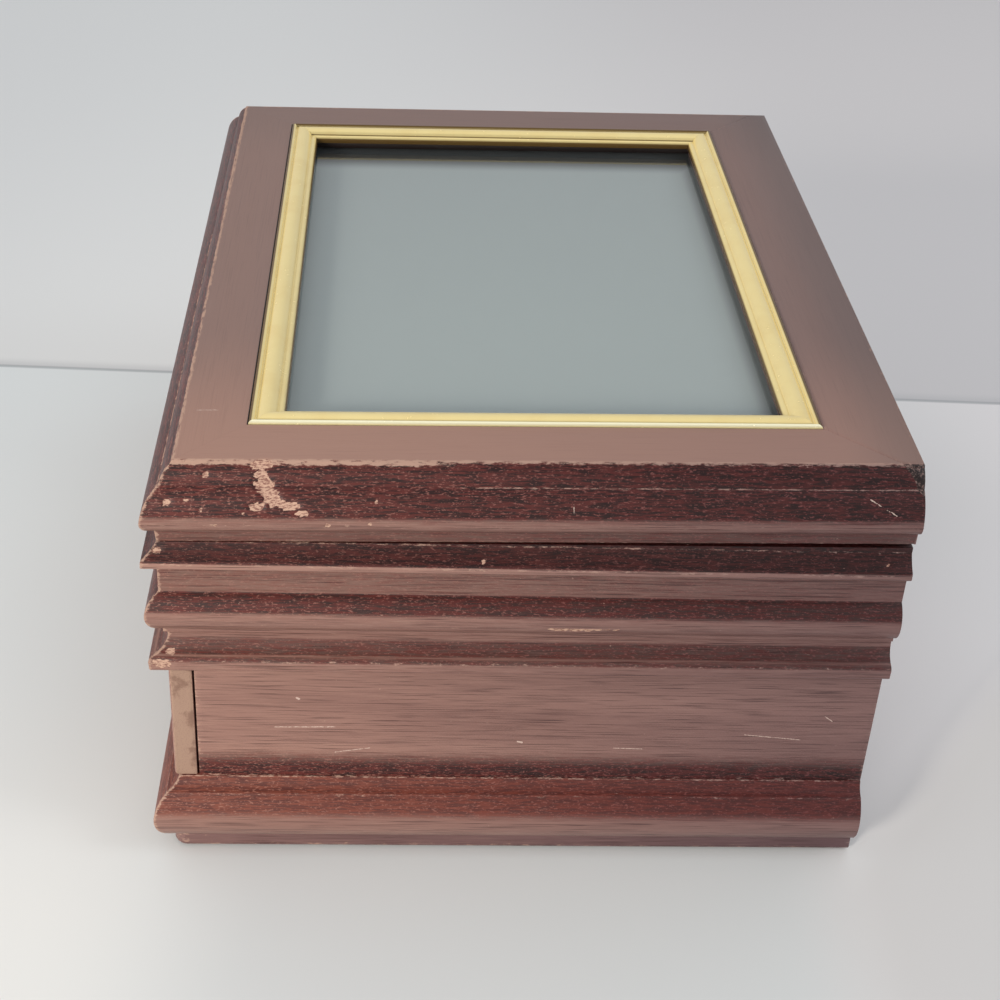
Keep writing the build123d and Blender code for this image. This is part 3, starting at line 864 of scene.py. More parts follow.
class Workpiece:
    """A piece on the bench: a mesh in millimetres, with what is painted on it."""

    # The painted layers: wear, painted shade and dirt, bare chips, raw end grain and a painted sheen
    PAINTS = ("wear", "glaze", "bare", "raw", "calm")
    PLANK = 900
    EASED_WEAR = 0.42
    MOST_CORNERS = 12
    LEAST_FLAT = 60
    LEAST_WIDTH = 2.6
    CHIP_EDGE = (0.6, 1.15)
    CHIP_REACH = 1.5

    def __init__(self, data: Optional[bpy.types.Mesh] = None) -> None:
        """Starts with an empty mesh or a copy of one, and gives it every paint layer.

        Args:
            data: The mesh to copy.
        """
        self.mesh = bmesh.new()
        if data:
            self.mesh.from_mesh(data)
        floats = self.mesh.verts.layers.float
        self.layers = {name: floats.get(name) or floats.new(name) for name in self.PAINTS}
        vectors = self.mesh.verts.layers.float_vector
        self.grain = vectors.get("grain") or vectors.new("grain")

    @classmethod
    def swept(cls, outline: Sequence[Point], start: float, end: float, step: float,
              ease: float = 0.0) -> "Workpiece":
        """Draws a closed outline along X.

        Args:
            outline: The section as (outward, height); outward is -Y.
            start: Where along X the run begins.
            end: Where it ends.
            step: The distance between the rings along the run.
            ease: How far sharp arrises are rounded off.

        Returns:
            The run, open at both ends.
        """
        piece = cls()
        bm = piece.mesh
        ring = [bm.verts.new((start, -out, height)) for out, height in outline]
        edges = [bm.edges.new((a, b)) for a, b in zip(ring, ring[1:] + ring[:1])]
        pull(bm, edges, Matrix.Translation((end - start, 0, 0)))
        bmesh.ops.recalc_face_normals(bm, faces=bm.faces)
        if ease:
            piece.ease_arrises(ease)
        long = [e for e in bm.edges if abs(e.verts[0].co.x - e.verts[1].co.x) > 0.5 * (end - start)]
        bmesh.ops.subdivide_edges(bm, edges=long, cuts=max(1, round((end - start) / step)))
        return piece

    @classmethod
    def from_node(cls, node: str, ease: float, margin: float = 1.4) -> "Workpiece":
        """Copies a CAD node, makes its flats whole and eases its arrises.

        Args:
            node: The node's name.
            ease: How far sharp arrises are rounded off.
            margin: Width of the band beside an arris where wear dies away.

        Returns:
            The copy in millimetres, with its wear painted.
        """
        piece = cls(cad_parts[node].data)
        bm = piece.mesh
        bmesh.ops.scale(bm, vec=(1 / METRES,) * 3, verts=bm.verts)
        bmesh.ops.remove_doubles(bm, verts=bm.verts, dist=WELD)
        bmesh.ops.dissolve_limit(bm, angle_limit=math.radians(1), verts=bm.verts, edges=bm.edges)
        rounded = piece.ease_arrises(ease)
        others = [f for f in bm.faces if f not in rounded]
        holed = [f for f in others if len(f.verts) > cls.MOST_CORNERS]
        narrow = cls.LEAST_WIDTH * margin
        flats = [f for f in others if len(f.verts) <= cls.MOST_CORNERS
                 and f.calc_area() > max(cls.LEAST_FLAT, narrow * max(e.calc_length() for e in f.edges))]
        if margin and flats:
            bmesh.ops.inset_region(bm, faces=flats, thickness=margin, use_boundary=True,
                                   use_even_offset=True)
        for faces, wear in ((rounded, cls.EASED_WEAR), (holed, 0.0)):
            for vert in verts_of(faces):
                vert[piece.layers["wear"]] = wear
        return piece

    def ease_arrises(self, ease: float) -> set[Face]:
        """Rounds off the sharp arrises.

        Args:
            ease: How far they are rounded off.

        Returns:
            The faces that this makes.
        """
        sharp = [e for e in self.mesh.edges if len(e.link_faces) == 2 and e.calc_face_angle() > SHARP]
        made = bmesh.ops.bevel(self.mesh, geom=sharp, offset=ease, offset_type="OFFSET", segments=2,
                               profile=0.5, affect="EDGES", material=-1, clamp_overlap=True)
        return set(made["faces"])

    def turn(self, matrix: Matrix) -> "Workpiece":
        """Moves the whole piece."""
        bmesh.ops.transform(self.mesh, matrix=matrix, verts=self.mesh.verts)
        return self

    def saw(self, point: Sequence[float], normal: Sequence[float], clear: bool = False) -> None:
        """Adds points where a plane meets the piece.

        Args:
            point: A point on the plane.
            normal: The plane's direction.
            clear: Whether what lies beyond the plane falls off.
        """
        every = self.mesh.verts[:] + self.mesh.edges[:] + self.mesh.faces[:]
        bmesh.ops.bisect_plane(self.mesh, geom=every, dist=SAW_REACH, plane_co=point, plane_no=normal,
                               clear_outer=clear)

    def cut(self, point: Sequence[float], outside: Sequence[float]) -> None:
        """Saws the piece on a plane and closes the sawn end.

        Args:
            point: A point on the plane.
            outside: The direction of what falls off.
        """
        self.saw(point, outside, clear=True)
        normal, base = Vector(outside).normalized(), Vector(point)
        flat = [e for e in self.mesh.edges if e.is_boundary
                and all(abs((v.co - base).dot(normal)) < ON_PLANE for v in e.verts)]
        bmesh.ops.holes_fill(self.mesh, edges=flat, sides=0)

    def clear_end(self, along: float) -> None:
        """Parts a sawn end from the rest and wipes the paint off it.

        Args:
            along: The end's place along X.
        """
        bm = self.mesh
        end = {f for f in bm.faces if all(abs(v.co.x - along) < ON_PLANE for v in f.verts)}
        rim = [e for e in bm.edges if len(set(e.link_faces) & end) == 1 and len(e.link_faces) == 2]
        bmesh.ops.split_edges(bm, edges=rim)
        for vert in verts_of(end):
            for key in self.layers.values():
                vert[key] = 0.0

    def brush(self, layer: str, amount: Amount) -> "Workpiece":
        """Paints a layer where the given amount is more than what is there.

        Args:
            layer: The layer's name.
            amount: Gives the amount for a point.

        Returns:
            The piece itself.
        """
        key = self.layers[layer]
        for vert in self.mesh.verts:
            vert[key] = max(vert[key], amount(vert))
        return self

    def lay_grain(self, grain: Grain, seed: str) -> "Workpiece":
        """Paints the wood's own coordinates, along, across and deep.

        Args:
            grain: How the grain runs.
            seed: A word that picks the place in the plank.

        Returns:
            The piece itself.
        """
        luck = random.Random(seed)
        shifts = [luck.uniform(0, self.PLANK) for _ in range(3)]
        for vert in self.mesh.verts:
            vert[self.grain] = Vector([vert.co[axis] + shift for axis, shift in zip(grain.value, shifts)])
        return self

    def knock(self, chips: Sequence[Chip]) -> None:
        """Knocks chips out of the surface and bares the wood in them.

        Args:
            chips: The chips.
        """
        self.mesh.normal_update()
        bare = self.layers["bare"]
        for chip in chips:
            for vert in self.mesh.verts:
                away = vert.co - Vector(chip.centre)
                reach = math.sqrt(sum((away[i] / chip.radii[i]) ** 2 for i in range(3)))
                if reach > self.CHIP_REACH:
                    continue
                ragged = reach + 0.4 * noise.noise(vert.co * 0.9) + 0.3 * noise.noise(vert.co * 2.3)
                share = 1 - smooth(*self.CHIP_EDGE, ragged)
                vert[bare] = max(vert[bare], share)
                vert.co -= vert.normal * chip.depth * share * (0.7 + 0.6 * noise.noise(vert.co * 2.1))

    def release(self, node: str, suffix: str, body: str, finish: Finish, crease: float = 34.0,
                slot: Optional[str] = None) -> bpy.types.Object:
        """Turns the piece into an object in metres that rides on a body.

        Args:
            node: The CAD node that it stands for.
            suffix: What its name has after the node's.
            body: The body it moves with.
            finish: Its finish.
            crease: The angle in degrees over which an edge shades sharp.
            slot: The record's material slot, if it isn't the finish's own; not used.

        Returns:
            The object.
        """
        self.turn(Matrix.Diagonal((METRES, METRES, METRES, 1)))
        mesh = bpy.data.meshes.new(f"{node}_{suffix}")
        self.mesh.to_mesh(mesh)
        self.mesh.free()
        mesh.shade_smooth()
        mesh.set_sharp_from_angle(angle=math.radians(crease))
        mesh.materials.append(finish.material)
        piece = put(mesh.name, mesh, Matrix.Identity(4))
        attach(piece, body)
        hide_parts(node)
        log.info("%s: %d faces on %s", piece.name, len(mesh.polygons), body)
        return piece


@dataclass(frozen=True)
class Rail:
    """A length of moulding on one side of the box, sawn at both ends."""

    side: Side
    outline: Sequence[Point]
    step: float
    ease: float
    glaze: ShadeAndDirt
    arrises: tuple[Arris, ...] = ()
    back_extra: float = 0.0
    mitred_back: bool = True
    calm_top: bool = False
    rim: Optional[tuple[Place, Place]] = None
    overrun: float = 12.0
    corner_wear: float = 0.75
    corner_reach: float = 1.4
    fade: float = 20.0

    @property
    def half_out(self) -> float:
        """How far the rail's arris lies from the middle of the box."""
        return self.side.reach[0] - (self.back_extra if self.side is Side.BACK else 0.0)

    def build(self, seed: str) -> Workpiece:
        """Sweeps, saws, paints and turns the rail.

        Args:
            seed: A word that picks its plank.

        Returns:
            The rail in its place, with the lid's pieces still level.
        """
        half_out, half_run = self.half_out, self.side.reach[1]
        reach = half_run + self.overrun
        section = [(half_out + out, height) for out, height in self.outline]
        piece = Workpiece.swept(section, -reach, reach, self.step, self.ease)
        piece.mesh.normal_update()
        coats = {self.line(vert): self.coat(vert) for vert in piece.mesh.verts}

        def coat_at(vert: Vert) -> Point:
            """Finds the coat on a point's line, also where the saw made the point.

            Args:
                vert: The point.

            Returns:
                Its painted shade and dirt, and its painted sheen.
            """
            line = self.line(vert)
            if line not in coats:
                coats[line] = coats[min(coats, key=lambda known: math.dist(known, line))]
            return coats[line]

        square = self.side.end_at_back
        ends = {-1: half_run, 1: half_run}
        if square:
            ends[square] -= self.back_extra
        for way, where in ends.items():
            if way == square:
                piece.cut((way * half_run, 0, 0), (way, 0, 0))
            if way != square or self.mitred_back:
                piece.cut((way * (where - HAIRLINE), -half_out, 0), (way, 1, 0))
        piece.brush("glaze", lambda vert: coat_at(vert)[0])
        piece.brush("calm", lambda vert: coat_at(vert)[1])
        mitres = {way: where for way, where in ends.items() if way != square}
        piece.brush("wear", lambda vert: self.wear(vert, mitres))
        turn = Matrix.Rotation(math.radians(90 * self.side.value), 4, "Z")
        if self.rim:
            point, outside = (turn.inverted() @ Vector(item) for item in self.rim)
            piece.cut(point, outside)
        if square:
            piece.clear_end(square * half_run)
        return piece.lay_grain(Grain.ALONG_X, seed).turn(turn)

    @staticmethod
    def line(vert: Vert) -> Point:
        """The place in the section that a point keeps wherever the rail is sawn."""
        return (round(vert.co.y, 2), round(vert.co.z, 2))

    def coat(self, vert: Vert) -> Point:
        """How much painted shade and dirt a point carries, and how much painted sheen."""
        level, tilted = upward(vert)
        return self.glaze(-vert.co.y - self.half_out, vert.co.z, tilted), level if self.calm_top else 0.0

    def wear(self, vert: Vert, mitres: dict[int, float]) -> float:
        """How worn a point is on the arrises and the mitred corners.

        Args:
            vert: A point of the sawn rail, still along X.
            mitres: How far the mitres lie from the middle, at the near (-1) and the far (1) end.

        Returns:
            The wear from 0 to 1.
        """
        out, amount = -vert.co.y - self.half_out, 0.0
        for arris in self.arrises:
            near = math.hypot(out - arris.out, vert.co.z - arris.height)
            here = smooth(arris.sets_in, arris.sets_in + self.fade, vert.co.x)
            here *= smooth(arris.fades_out + self.fade, arris.fades_out, vert.co.x)
            amount = max(amount, here * arris.amount * (1 - smooth(0.0, arris.reach, near)))
        if self.arrises and out >= 0.4:
            gap = min(where - way * vert.co.x for way, where in mitres.items()) + out
            amount = max(amount, self.corner_wear * (1 - smooth(0.0, self.corner_reach, gap)))
        return amount


@dataclass(frozen=True)
class FeltSheet:
    """A thin sheet of felt laid between two corners, with a little unevenness."""

    low: Sequence[float]
    high: Sequence[float]
    place: Optional[Matrix] = None
    grid: float = 4.0
    trimmed: float = 0.6
    sunk: float = 0.12
    wave: float = 0.1
    stray: float = 0.2

    def build(self, node: str, body: str, rests_on: str) -> None:
        """Args:
            node: The CAD node that it stands for.
            body: The body that it moves with.
            rests_on: The piece or node it lies on; not used.
        """
        piece = Workpiece()
        bm = piece.mesh
        width, length, thick = (self.high[i] - self.low[i] for i in range(3))
        across, along = (max(8, round(size / self.grid)) for size in (width, length))
        bmesh.ops.create_grid(bm, x_segments=across, y_segments=along, size=0.5)
        bmesh.ops.scale(bm, vec=(width - self.trimmed, length - self.trimmed, 1), verts=bm.verts)
        middle = [(self.low[i] + self.high[i]) / 2 for i in range(2)]
        bmesh.ops.translate(bm, verts=bm.verts, vec=(*middle, self.high[2] - self.sunk))
        for vert in bm.verts:
            vert.co.z += self.wave * noise.noise(vert.co * 0.09)
            vert.co.x += self.stray * noise.noise(vert.co * 0.13 + Vector((7, 0, 0)))
        bmesh.ops.solidify(bm, geom=bm.faces[:], thickness=thick - 2 * self.sunk)
        bmesh.ops.recalc_face_normals(bm, faces=bm.faces)
        if self.place:
            piece.turn(self.place)
        sheet = piece.release(node, "sheet", body, FELT)
        width * METRES
        length * METRES


@dataclass(frozen=True)
class Screw:
    """A slotted screw: its head's top at 0 and its shank going down."""

    head: float
    head_height: float
    shank: float
    length: float
    slot: float = 0.22
    slot_depth: float = 0.3
    slot_share: float = 0.8
    rim_share: float = 0.55
    facets: int = 28

    def solid(self) -> bmesh.types.BMesh:
        """Shapes one screw.

        Returns:
            The screw's mesh, upright.
        """
        bm = bmesh.new()
        bmesh.ops.create_circle(bm, cap_ends=True, radius=self.head, segments=self.facets)
        ring = [e for e in bm.edges if e.is_boundary]
        for share, drop in ((1.0, self.head_height * self.rim_share),
                            (self.shank / self.head, self.head_height * (1 - self.rim_share)),
                            (1.0, self.length - self.head_height)):
            ring = pull(bm, ring, Matrix.Translation((0, 0, -drop)) @ Matrix.Diagonal((share, share, 1, 1)))
        bmesh.ops.holes_fill(bm, edges=[e for e in bm.edges if e.is_boundary], sides=0)
        for normal, reach in ((Vector((1, 0, 0)), self.slot),
                              (Vector((0, 1, 0)), self.head * self.slot_share)):
            for point in (normal * -reach, normal * reach):
                faces = [f for f in bm.faces if f.calc_center_median().z > -SLOT_REACH]
                geom = faces + list({e for f in faces for e in f.edges}) + list(verts_of(faces))
                bmesh.ops.bisect_plane(bm, geom=geom, dist=SLOT_REACH, plane_co=point, plane_no=normal)
        bed = [f for f in bm.faces if f.calc_center_median().length < self.slot / 2]
        made = bmesh.ops.extrude_face_region(bm, geom=bed)["geom"]
        bmesh.ops.delete(bm, geom=bed, context="FACES_ONLY")
        sunk = [item for item in made if isinstance(item, Vert)]
        bmesh.ops.translate(bm, verts=sunk, vec=(0, 0, -self.slot_depth))
        bmesh.ops.recalc_face_normals(bm, faces=bm.faces)
        return bm

    def build(self, node: str, body: str, finish: Finish, places: Sequence[Matrix]) -> None:
        """Makes one object of every screw in a group.

        Args:
            node: The CAD node that they stand for.
            body: The body that they are driven into.
            finish: Their metal.
            places: Where each screw goes.
        """
        piece = Workpiece()
        for place in places:
            single = self.solid()
            bmesh.ops.transform(single, matrix=place, verts=single.verts)
            loose = bpy.data.meshes.new("loose_screw")
            single.to_mesh(loose)
            single.free()
            piece.mesh.from_mesh(loose)
            bpy.data.meshes.remove(loose)
        piece.release(node, "metal", body, finish)


UPSIDE_DOWN = Matrix.Rotation(math.pi, 4, "X")


@dataclass(frozen=True)
class Lid:
    """The picture-frame lid: four rails, gilt trim, glass, card, backing and its fastenings."""

    step: float = 1.0
    shown_step: float = 0.6
    trim_inset: float = 15.3
    trim_bed: float = 2.6
    lip_inset: float = 22.7
    lip_bottom: float = 4.4
    glass_inset: float = 14.6
    ledge_inset: float = 7.8
    ledge_depth: float = 10.9
    sheets: float = 5.7
    felt: float = 0.8
    play: float = 0.3
    button_across: float = 55.0
    button_drop: float = 1.4
    grooves: Point = (1.68, 6.3)

    @staticmethod
    def glaze(out: float, height: float, tilted: float) -> float:
        """Paints shade where the lid tilts upward, on its lower part, under its round and on the lip's inner
        face, and dirt beside the trim.

        Args:
            out: How far the place lies outside the arris.
            height: Its height.
            tilted: How much the surface tilts upward there.

        Returns:
            The painted shade, over 1 for the dirt beside the trim and the painted shade on the lip's inner
            face.
        """
        if out < -14.0:
            # Near black: painted shade on the lip's inner face, and dirt beside the trim
            return 2.6 if out < -22.0 or out < -15.07 and height > -0.5 else 0.0
        # Painted shade where it tilts upward, on the lower part and under the round
        return max(tilted, 0.25 * smooth(-6.0, -8.0, height), 0.5 * smooth(-13.2, -14.6, height))

    def section(self) -> list[Point]:
        """Draws the rail's section, from the top arris round.

        Returns:
            The closed outline as (outward, height).
        """
        inner = [
            (-self.ledge_inset, -LID_THICKNESS),
            (-self.ledge_inset, -self.ledge_depth),
            (-self.glass_inset, -self.ledge_depth),
            (-self.glass_inset, -self.lip_bottom),
            (-self.lip_inset, -self.lip_bottom),
            (-self.lip_inset, -self.trim_bed),
            (-self.trim_inset, -self.trim_bed),
            (-self.trim_inset, 0.0),
        ]
        top = [(-inward, 0.0) for inward in (15.05, 13.5, 9.0, 5.0, 3.0, 2.0, 1.4, 1.0)]
        return trace((-0.6, 0.0), LID_MOULDING, 0.5) + inner + top

    def rails(self) -> None:
        """Makes the moulded rails and the flat back rail."""
        for side in MOULDED_SIDES:
            step = self.shown_step if side is Side.RIGHT else self.step
            rail = Rail(side, self.section(), step, 0.22, self.glaze, LID_ARRISES, BACK_EXTRA, calm_top=True)
            piece = rail.build("lid " + side.word).turn(LID_PLACE)
            if side is Side.RIGHT:
                piece.knock(LID_CHIPS + LID_SPOTS)
            piece.release("lid_rail_" + side.word, "wood", "lid", WOOD if side is Side.LEFT else SHOWN_WOOD)
        back = Workpiece.from_node("lid_rail_back", ease=0.5)
        back.mesh.normal_update()
        # Painted sheen on the back rail's level top, and painted shade where its ends tilt upward by the
        # outer edge
        back.brush("calm", lambda vert: upward(vert)[0])
        back.brush("glaze", lambda vert: 2.4 * upward(vert)[1] if tilt_at(vert)[0] > -1.0 else 0.0)
        back.lay_grain(Grain.ALONG_X, "lid back")
        back.release("lid_rail_back", "wood", "lid", SHOWN_WOOD, crease=28)

    def dirt(self, width: float, depth: float) -> ShadeAndDirt:
        """Gives a trim's dirt and painted shade.

        Args:
            width: How wide the dark line is at the trim's outer edge.
            depth: How strong the dirt and painted shade are in the grooves.

        Returns:
            The paint for a place in the trim's section.
        """
        def paint_dirt(out: float, height: float, tilted: float) -> float:
            """Gives the dirt and painted shade at a place in the section.

            Args:
                out: How far the place lies outside the arris.
                height: Its height; not used.
                tilted: How much the surface tilts upward there; not used.

            Returns:
                The dirt and painted shade from 0 to 1.
            """
            inward = -self.trim_inset - out
            in_groove = max(1 - smooth(0.1, 0.32, abs(inward - groove)) for groove in self.grooves)
            at_edge = 1 - smooth(width - 0.3, width, inward) if width else 0.0
            # A dark line at the outer edge, dirt and painted shade in the grooves, and painted shade on the
            # inner edge by the glass
            return max(at_edge, depth * in_groove, smooth(7.5, 7.8, inward))

        return paint_dirt

    def trims(self) -> None:
        """Makes the four mitred lengths of gilt trim, the right one with a highlight painted along its outer
        bead.
        """
        drawn = trace((0.05, -self.trim_bed), TRIM_SECTION, 0.2)
        outline = [(-self.trim_inset - inward, height) for inward, height in reversed(drawn)]
        crest = HALF_WIDTH - self.trim_inset - 0.65
        for side in Side:
            dirt = self.dirt(*TRIM_DIRT_AND_SHADE[side])
            rail = Rail(side, outline, step=6.0, ease=0.05, glaze=dirt, back_extra=BACK_EXTRA)
            piece = rail.build("trim " + side.word).turn(LID_PLACE)
            if side is Side.RIGHT:
                # A painted highlight along the crest of the outer bead
                piece.brush("calm", lambda vert: 1 - smooth(0.35, 0.7, abs(crest - vert.co.x)))
            piece.release("gilt_trim_" + side.word, "gilt", "lid", GILT, crease=24)

    def picture(self) -> None:
        """Makes the glass, the card, the backing board and the felt."""
        for node, suffix, finish in (("picture_glass", "sheet", GLASS), ("picture_card", "sheet", CARD),
                                     ("picture_backing", "board", PLAIN_WOOD)):
            piece = Workpiece.from_node(node, ease=0.1).lay_grain(Grain.ALONG_X, node)
            piece.release(node, suffix, "lid", finish)
        edge, depth = self.glass_inset + self.play, self.lip_bottom + self.sheets
        x, front, back = HALF_WIDTH - edge, -HALF_DEPTH + edge, HALF_DEPTH - edge - BACK_EXTRA
        felt = FeltSheet((-x, front, -depth - self.felt), (x, back, -depth), LID_PLACE)
        felt.build("backing_felt", "lid", "picture_backing_board")

    def fastenings(self) -> None:
        """Makes the turn buttons and their screws."""
        for side in ("front_left", "front_right", "back_left", "back_right"):
            node = f"turn_button_{side}"
            Workpiece.from_node(node, ease=0.12, margin=0).release(node, "brass", node, BRASS)
        middle = (self.glass_inset + self.ledge_inset) / 2
        low = -self.ledge_depth - self.button_drop
        places = [LID_PLACE @ Matrix.Translation((x, y, low)) @ UPSIDE_DOWN
                  for x in (-self.button_across, self.button_across)
                  for y in (-HALF_DEPTH + middle, HALF_DEPTH - middle - BACK_EXTRA)]
        screw = Screw(head=2.2, head_height=0.9, shank=1.1, length=6.5)
        screw.build("turn_button_screws", "lid", BRASS, places)

    def build(self) -> None:
        """Makes the whole lid."""
        self.rails()
        self.trims()
        self.picture()
        self.fastenings()


@dataclass(frozen=True)
class Cornice:
    """The moulded walls round the compartment, drawn up to a level that the sloping rim is sawn off."""

    step: float = 1.2
    shown_step: float = 0.7
    drawn_top: float = 94.0
    inner: float = -6.8
    rebate: float = -2.8
    bay_top: float = 57.2

    @staticmethod
    def glaze(out: float, height: float, tilted: float) -> float:
        """Paints shade on each member of the cornice where it tilts upward, most in the top cove, a little
        on the frieze and below it, and on the strip under the lid's overhang.

        Args:
            out: How far the place lies outside the arris.
            height: Its height.
            tilted: How much the surface tilts upward there.

        Returns:
            The painted shade, over 1 where it is deepest.
        """
        if height > 85.8:
            # Painted shade in the top cove and on the strip under the lid's overhang
            return max(1.4 * tilted, 1.5 * smooth(91.25, 91.4, height) * smooth(2.5, 3.5, out))
        if height > 77.9:
            # Painted shade on the frieze
            return 0.36
        return max(0.22, (0.74 if height > 67 else 0.62) * tilted)

    def build(self) -> None:
        """Makes the three walls."""
        section = trace((3.7, self.drawn_top), CORNICE_MOULDING, 0.55)
        section += [(self.rebate, self.bay_top), (self.rebate, DUST_TOP), (self.inner, DUST_TOP),
                    (self.inner, self.drawn_top)]
        rim = (0.0, -HALF_DEPTH, RIM_FRONT_HEIGHT), (0.0, -math.sin(RIM_SLOPE), math.cos(RIM_SLOPE))
        for side in MOULDED_SIDES:
            shown = side is Side.RIGHT
            step = self.shown_step if shown else self.step
            rail = Rail(side, section, step, 0.25, self.glaze, CORNICE_ARRISES, mitred_back=False, rim=rim)
            piece = rail.build("cornice " + side.word)
            if shown:
                piece.knock(CORNICE_CHIPS)
            if side.end_at_back:
                self.stop_rebate(piece, side.end_at_back)
            piece.release("cornice_" + side.word, "wood", "case", SHOWN_WOOD if shown else WOOD)

    def stop_rebate(self, piece: Workpiece, way: int) -> None:
        """Closes the dust board's rebate behind the board.

        Args:
            piece: The side wall.
            way: The wall's side, left (-1) or right (1).
        """
        low, high = spot("back_panel")
        size = (self.rebate - self.inner, high.y - low.y, DUST_TOP - self.bay_top)
        middle = (way * (HALF_WIDTH + (self.inner + self.rebate) / 2), (low.y + high.y) / 2,
                  (self.bay_top + DUST_TOP) / 2)
        place = Matrix.Translation(middle) @ Matrix.Diagonal((*size, 1.0))
        for vert in bmesh.ops.create_cube(piece.mesh, size=1.0, matrix=place)["verts"]:
            vert[piece.grain] = vert.co.yxz


@dataclass(frozen=True)
class Base:
    """The base moulding and the plinth under it."""

    step: float = 1.4
    shown_step: float = 0.9
    inner: float = -11.8
    rebate: float = -7.8
    top: float = 21.5
    board: float = 17.5
    bottom: float = 5.4

    @staticmethod
    def glaze(out: float, height: float, tilted: float) -> float:
        """How much shade is painted on the base: all the way down its cove and its upper curve."""
        return 0.8 if height > 17.5 else 0.8 * smooth(11.5, 15.5, height)

    def build(self) -> None:
        """Makes the base rails, the plinth and its felt."""
        section = trace((2.3, self.top), BASE_MOULDING, 0.6)
        section += [(self.inner, self.bottom), (self.inner, self.board), (self.rebate, self.board)]
        section += [(out, self.top) for out in (self.rebate, -3.0, 0.0, 1.2)]
        for side in MOULDED_SIDES:
            step = self.shown_step if side is Side.RIGHT else self.step
            piece = Rail(side, section, step, 0.25, self.glaze, BASE_ARRISES).build("base " + side.word)
            piece.release("base_moulding_" + side.word, "wood", "case", BASE_WOOD)
        back = Workpiece.from_node("base_moulding_back", ease=0.35)
        back.mesh.normal_update()
        back.brush("glaze", lambda vert: self.glaze(*tilt_at(vert)))
        back.lay_grain(Grain.ALONG_X, "base_moulding_back")
        back.release("base_moulding_back", "wood", "case", BASE_WOOD, crease=28)
        plinth = Workpiece.from_node("plinth_board", ease=0.35).lay_grain(Grain.ALONG_Y, "plinth_board")
        plinth.release("plinth_board", "wood", "case", PLINTH_WOOD, crease=28)
        FeltSheet(*spot("base_felt")).build("base_felt", "case", "plinth_board_wood")


@dataclass(frozen=True)
class Carcass:
    """The flat boards of the case, the side panels with a painted reflection of the dark base moulding just
    above the base.
    """

    dark_from: float = 31.0
    dark_at: float = 24.5
    darkness: float = 0.85

    def darkening(self, vert: Vert) -> float:
        """How strong the painted reflection of the base moulding is on a side panel at a point."""
        return self.darkness * smooth(self.dark_from, self.dark_at, vert.co.z)

    def build(self) -> None:
        """Makes the side panels, the back and the boards inside."""
        for node, finish, grain in (("side_panel_left", WOOD, Grain.ALONG_Y),
                                    ("side_panel_right", SHOWN_WOOD, Grain.ALONG_Y),
                                    ("back_panel", WOOD, Grain.ALONG_X),
                                    ("bottom_board", PLAIN_WOOD, Grain.ALONG_X),
                                    ("dust_board", PLAIN_WOOD, Grain.ALONG_X),
                                    ("drawer_partition", PLAIN_WOOD, Grain.ALONG_Y)):
            piece = Workpiece.from_node(node, ease=0.2)
            if node.startswith("side_panel"):
                # A painted reflection of the dark base moulding along the bottom of each side panel
                for height in (self.dark_at, self.dark_from):
                    piece.saw((0, 0, height), (0, 0, 1))
                piece.brush("glaze", self.darkening)
            piece.lay_grain(grain, node).release(node, "wood", "case", finish, crease=28)


@dataclass(frozen=True)
class Hinges:
    """The two butt hinges and the screws of their leaves."""

    across: float = 62.0
    pitch: float = 20.0
    leaf: float = 0.55
    leaf_width: float = 10.5

    def build(self) -> None:
        """Makes the leaves, the pins and the screws."""
        for word in ("left", "right"):
            for part, body in (("lower_leaf", "case"), ("upper_leaf", "lid"), ("pin", "case")):
                node = f"hinge_{part}_{word}"
                Workpiece.from_node(node, ease=0.08, margin=0).release(node, "brass", body, BRASS)
        y = HALF_DEPTH - self.leaf_width / 2
        places = [side * self.across + half * self.pitch / 2 for side in (-1, 1) for half in (-1, 1)]
        screw = Screw(head=1.7, head_height=self.leaf, shank=0.9, length=8.0)
        upright = [RIM_PLACE @ Matrix.Translation((x, y, self.leaf)) for x in places]
        screw.build("hinge_lower_screws", "case", BRASS, upright)
        low = -LID_THICKNESS - self.leaf
        hanging = [LID_PLACE @ Matrix.Translation((x, y, low)) @ UPSIDE_DOWN for x in places]
        screw.build("hinge_upper_screws", "lid", BRASS, hanging)


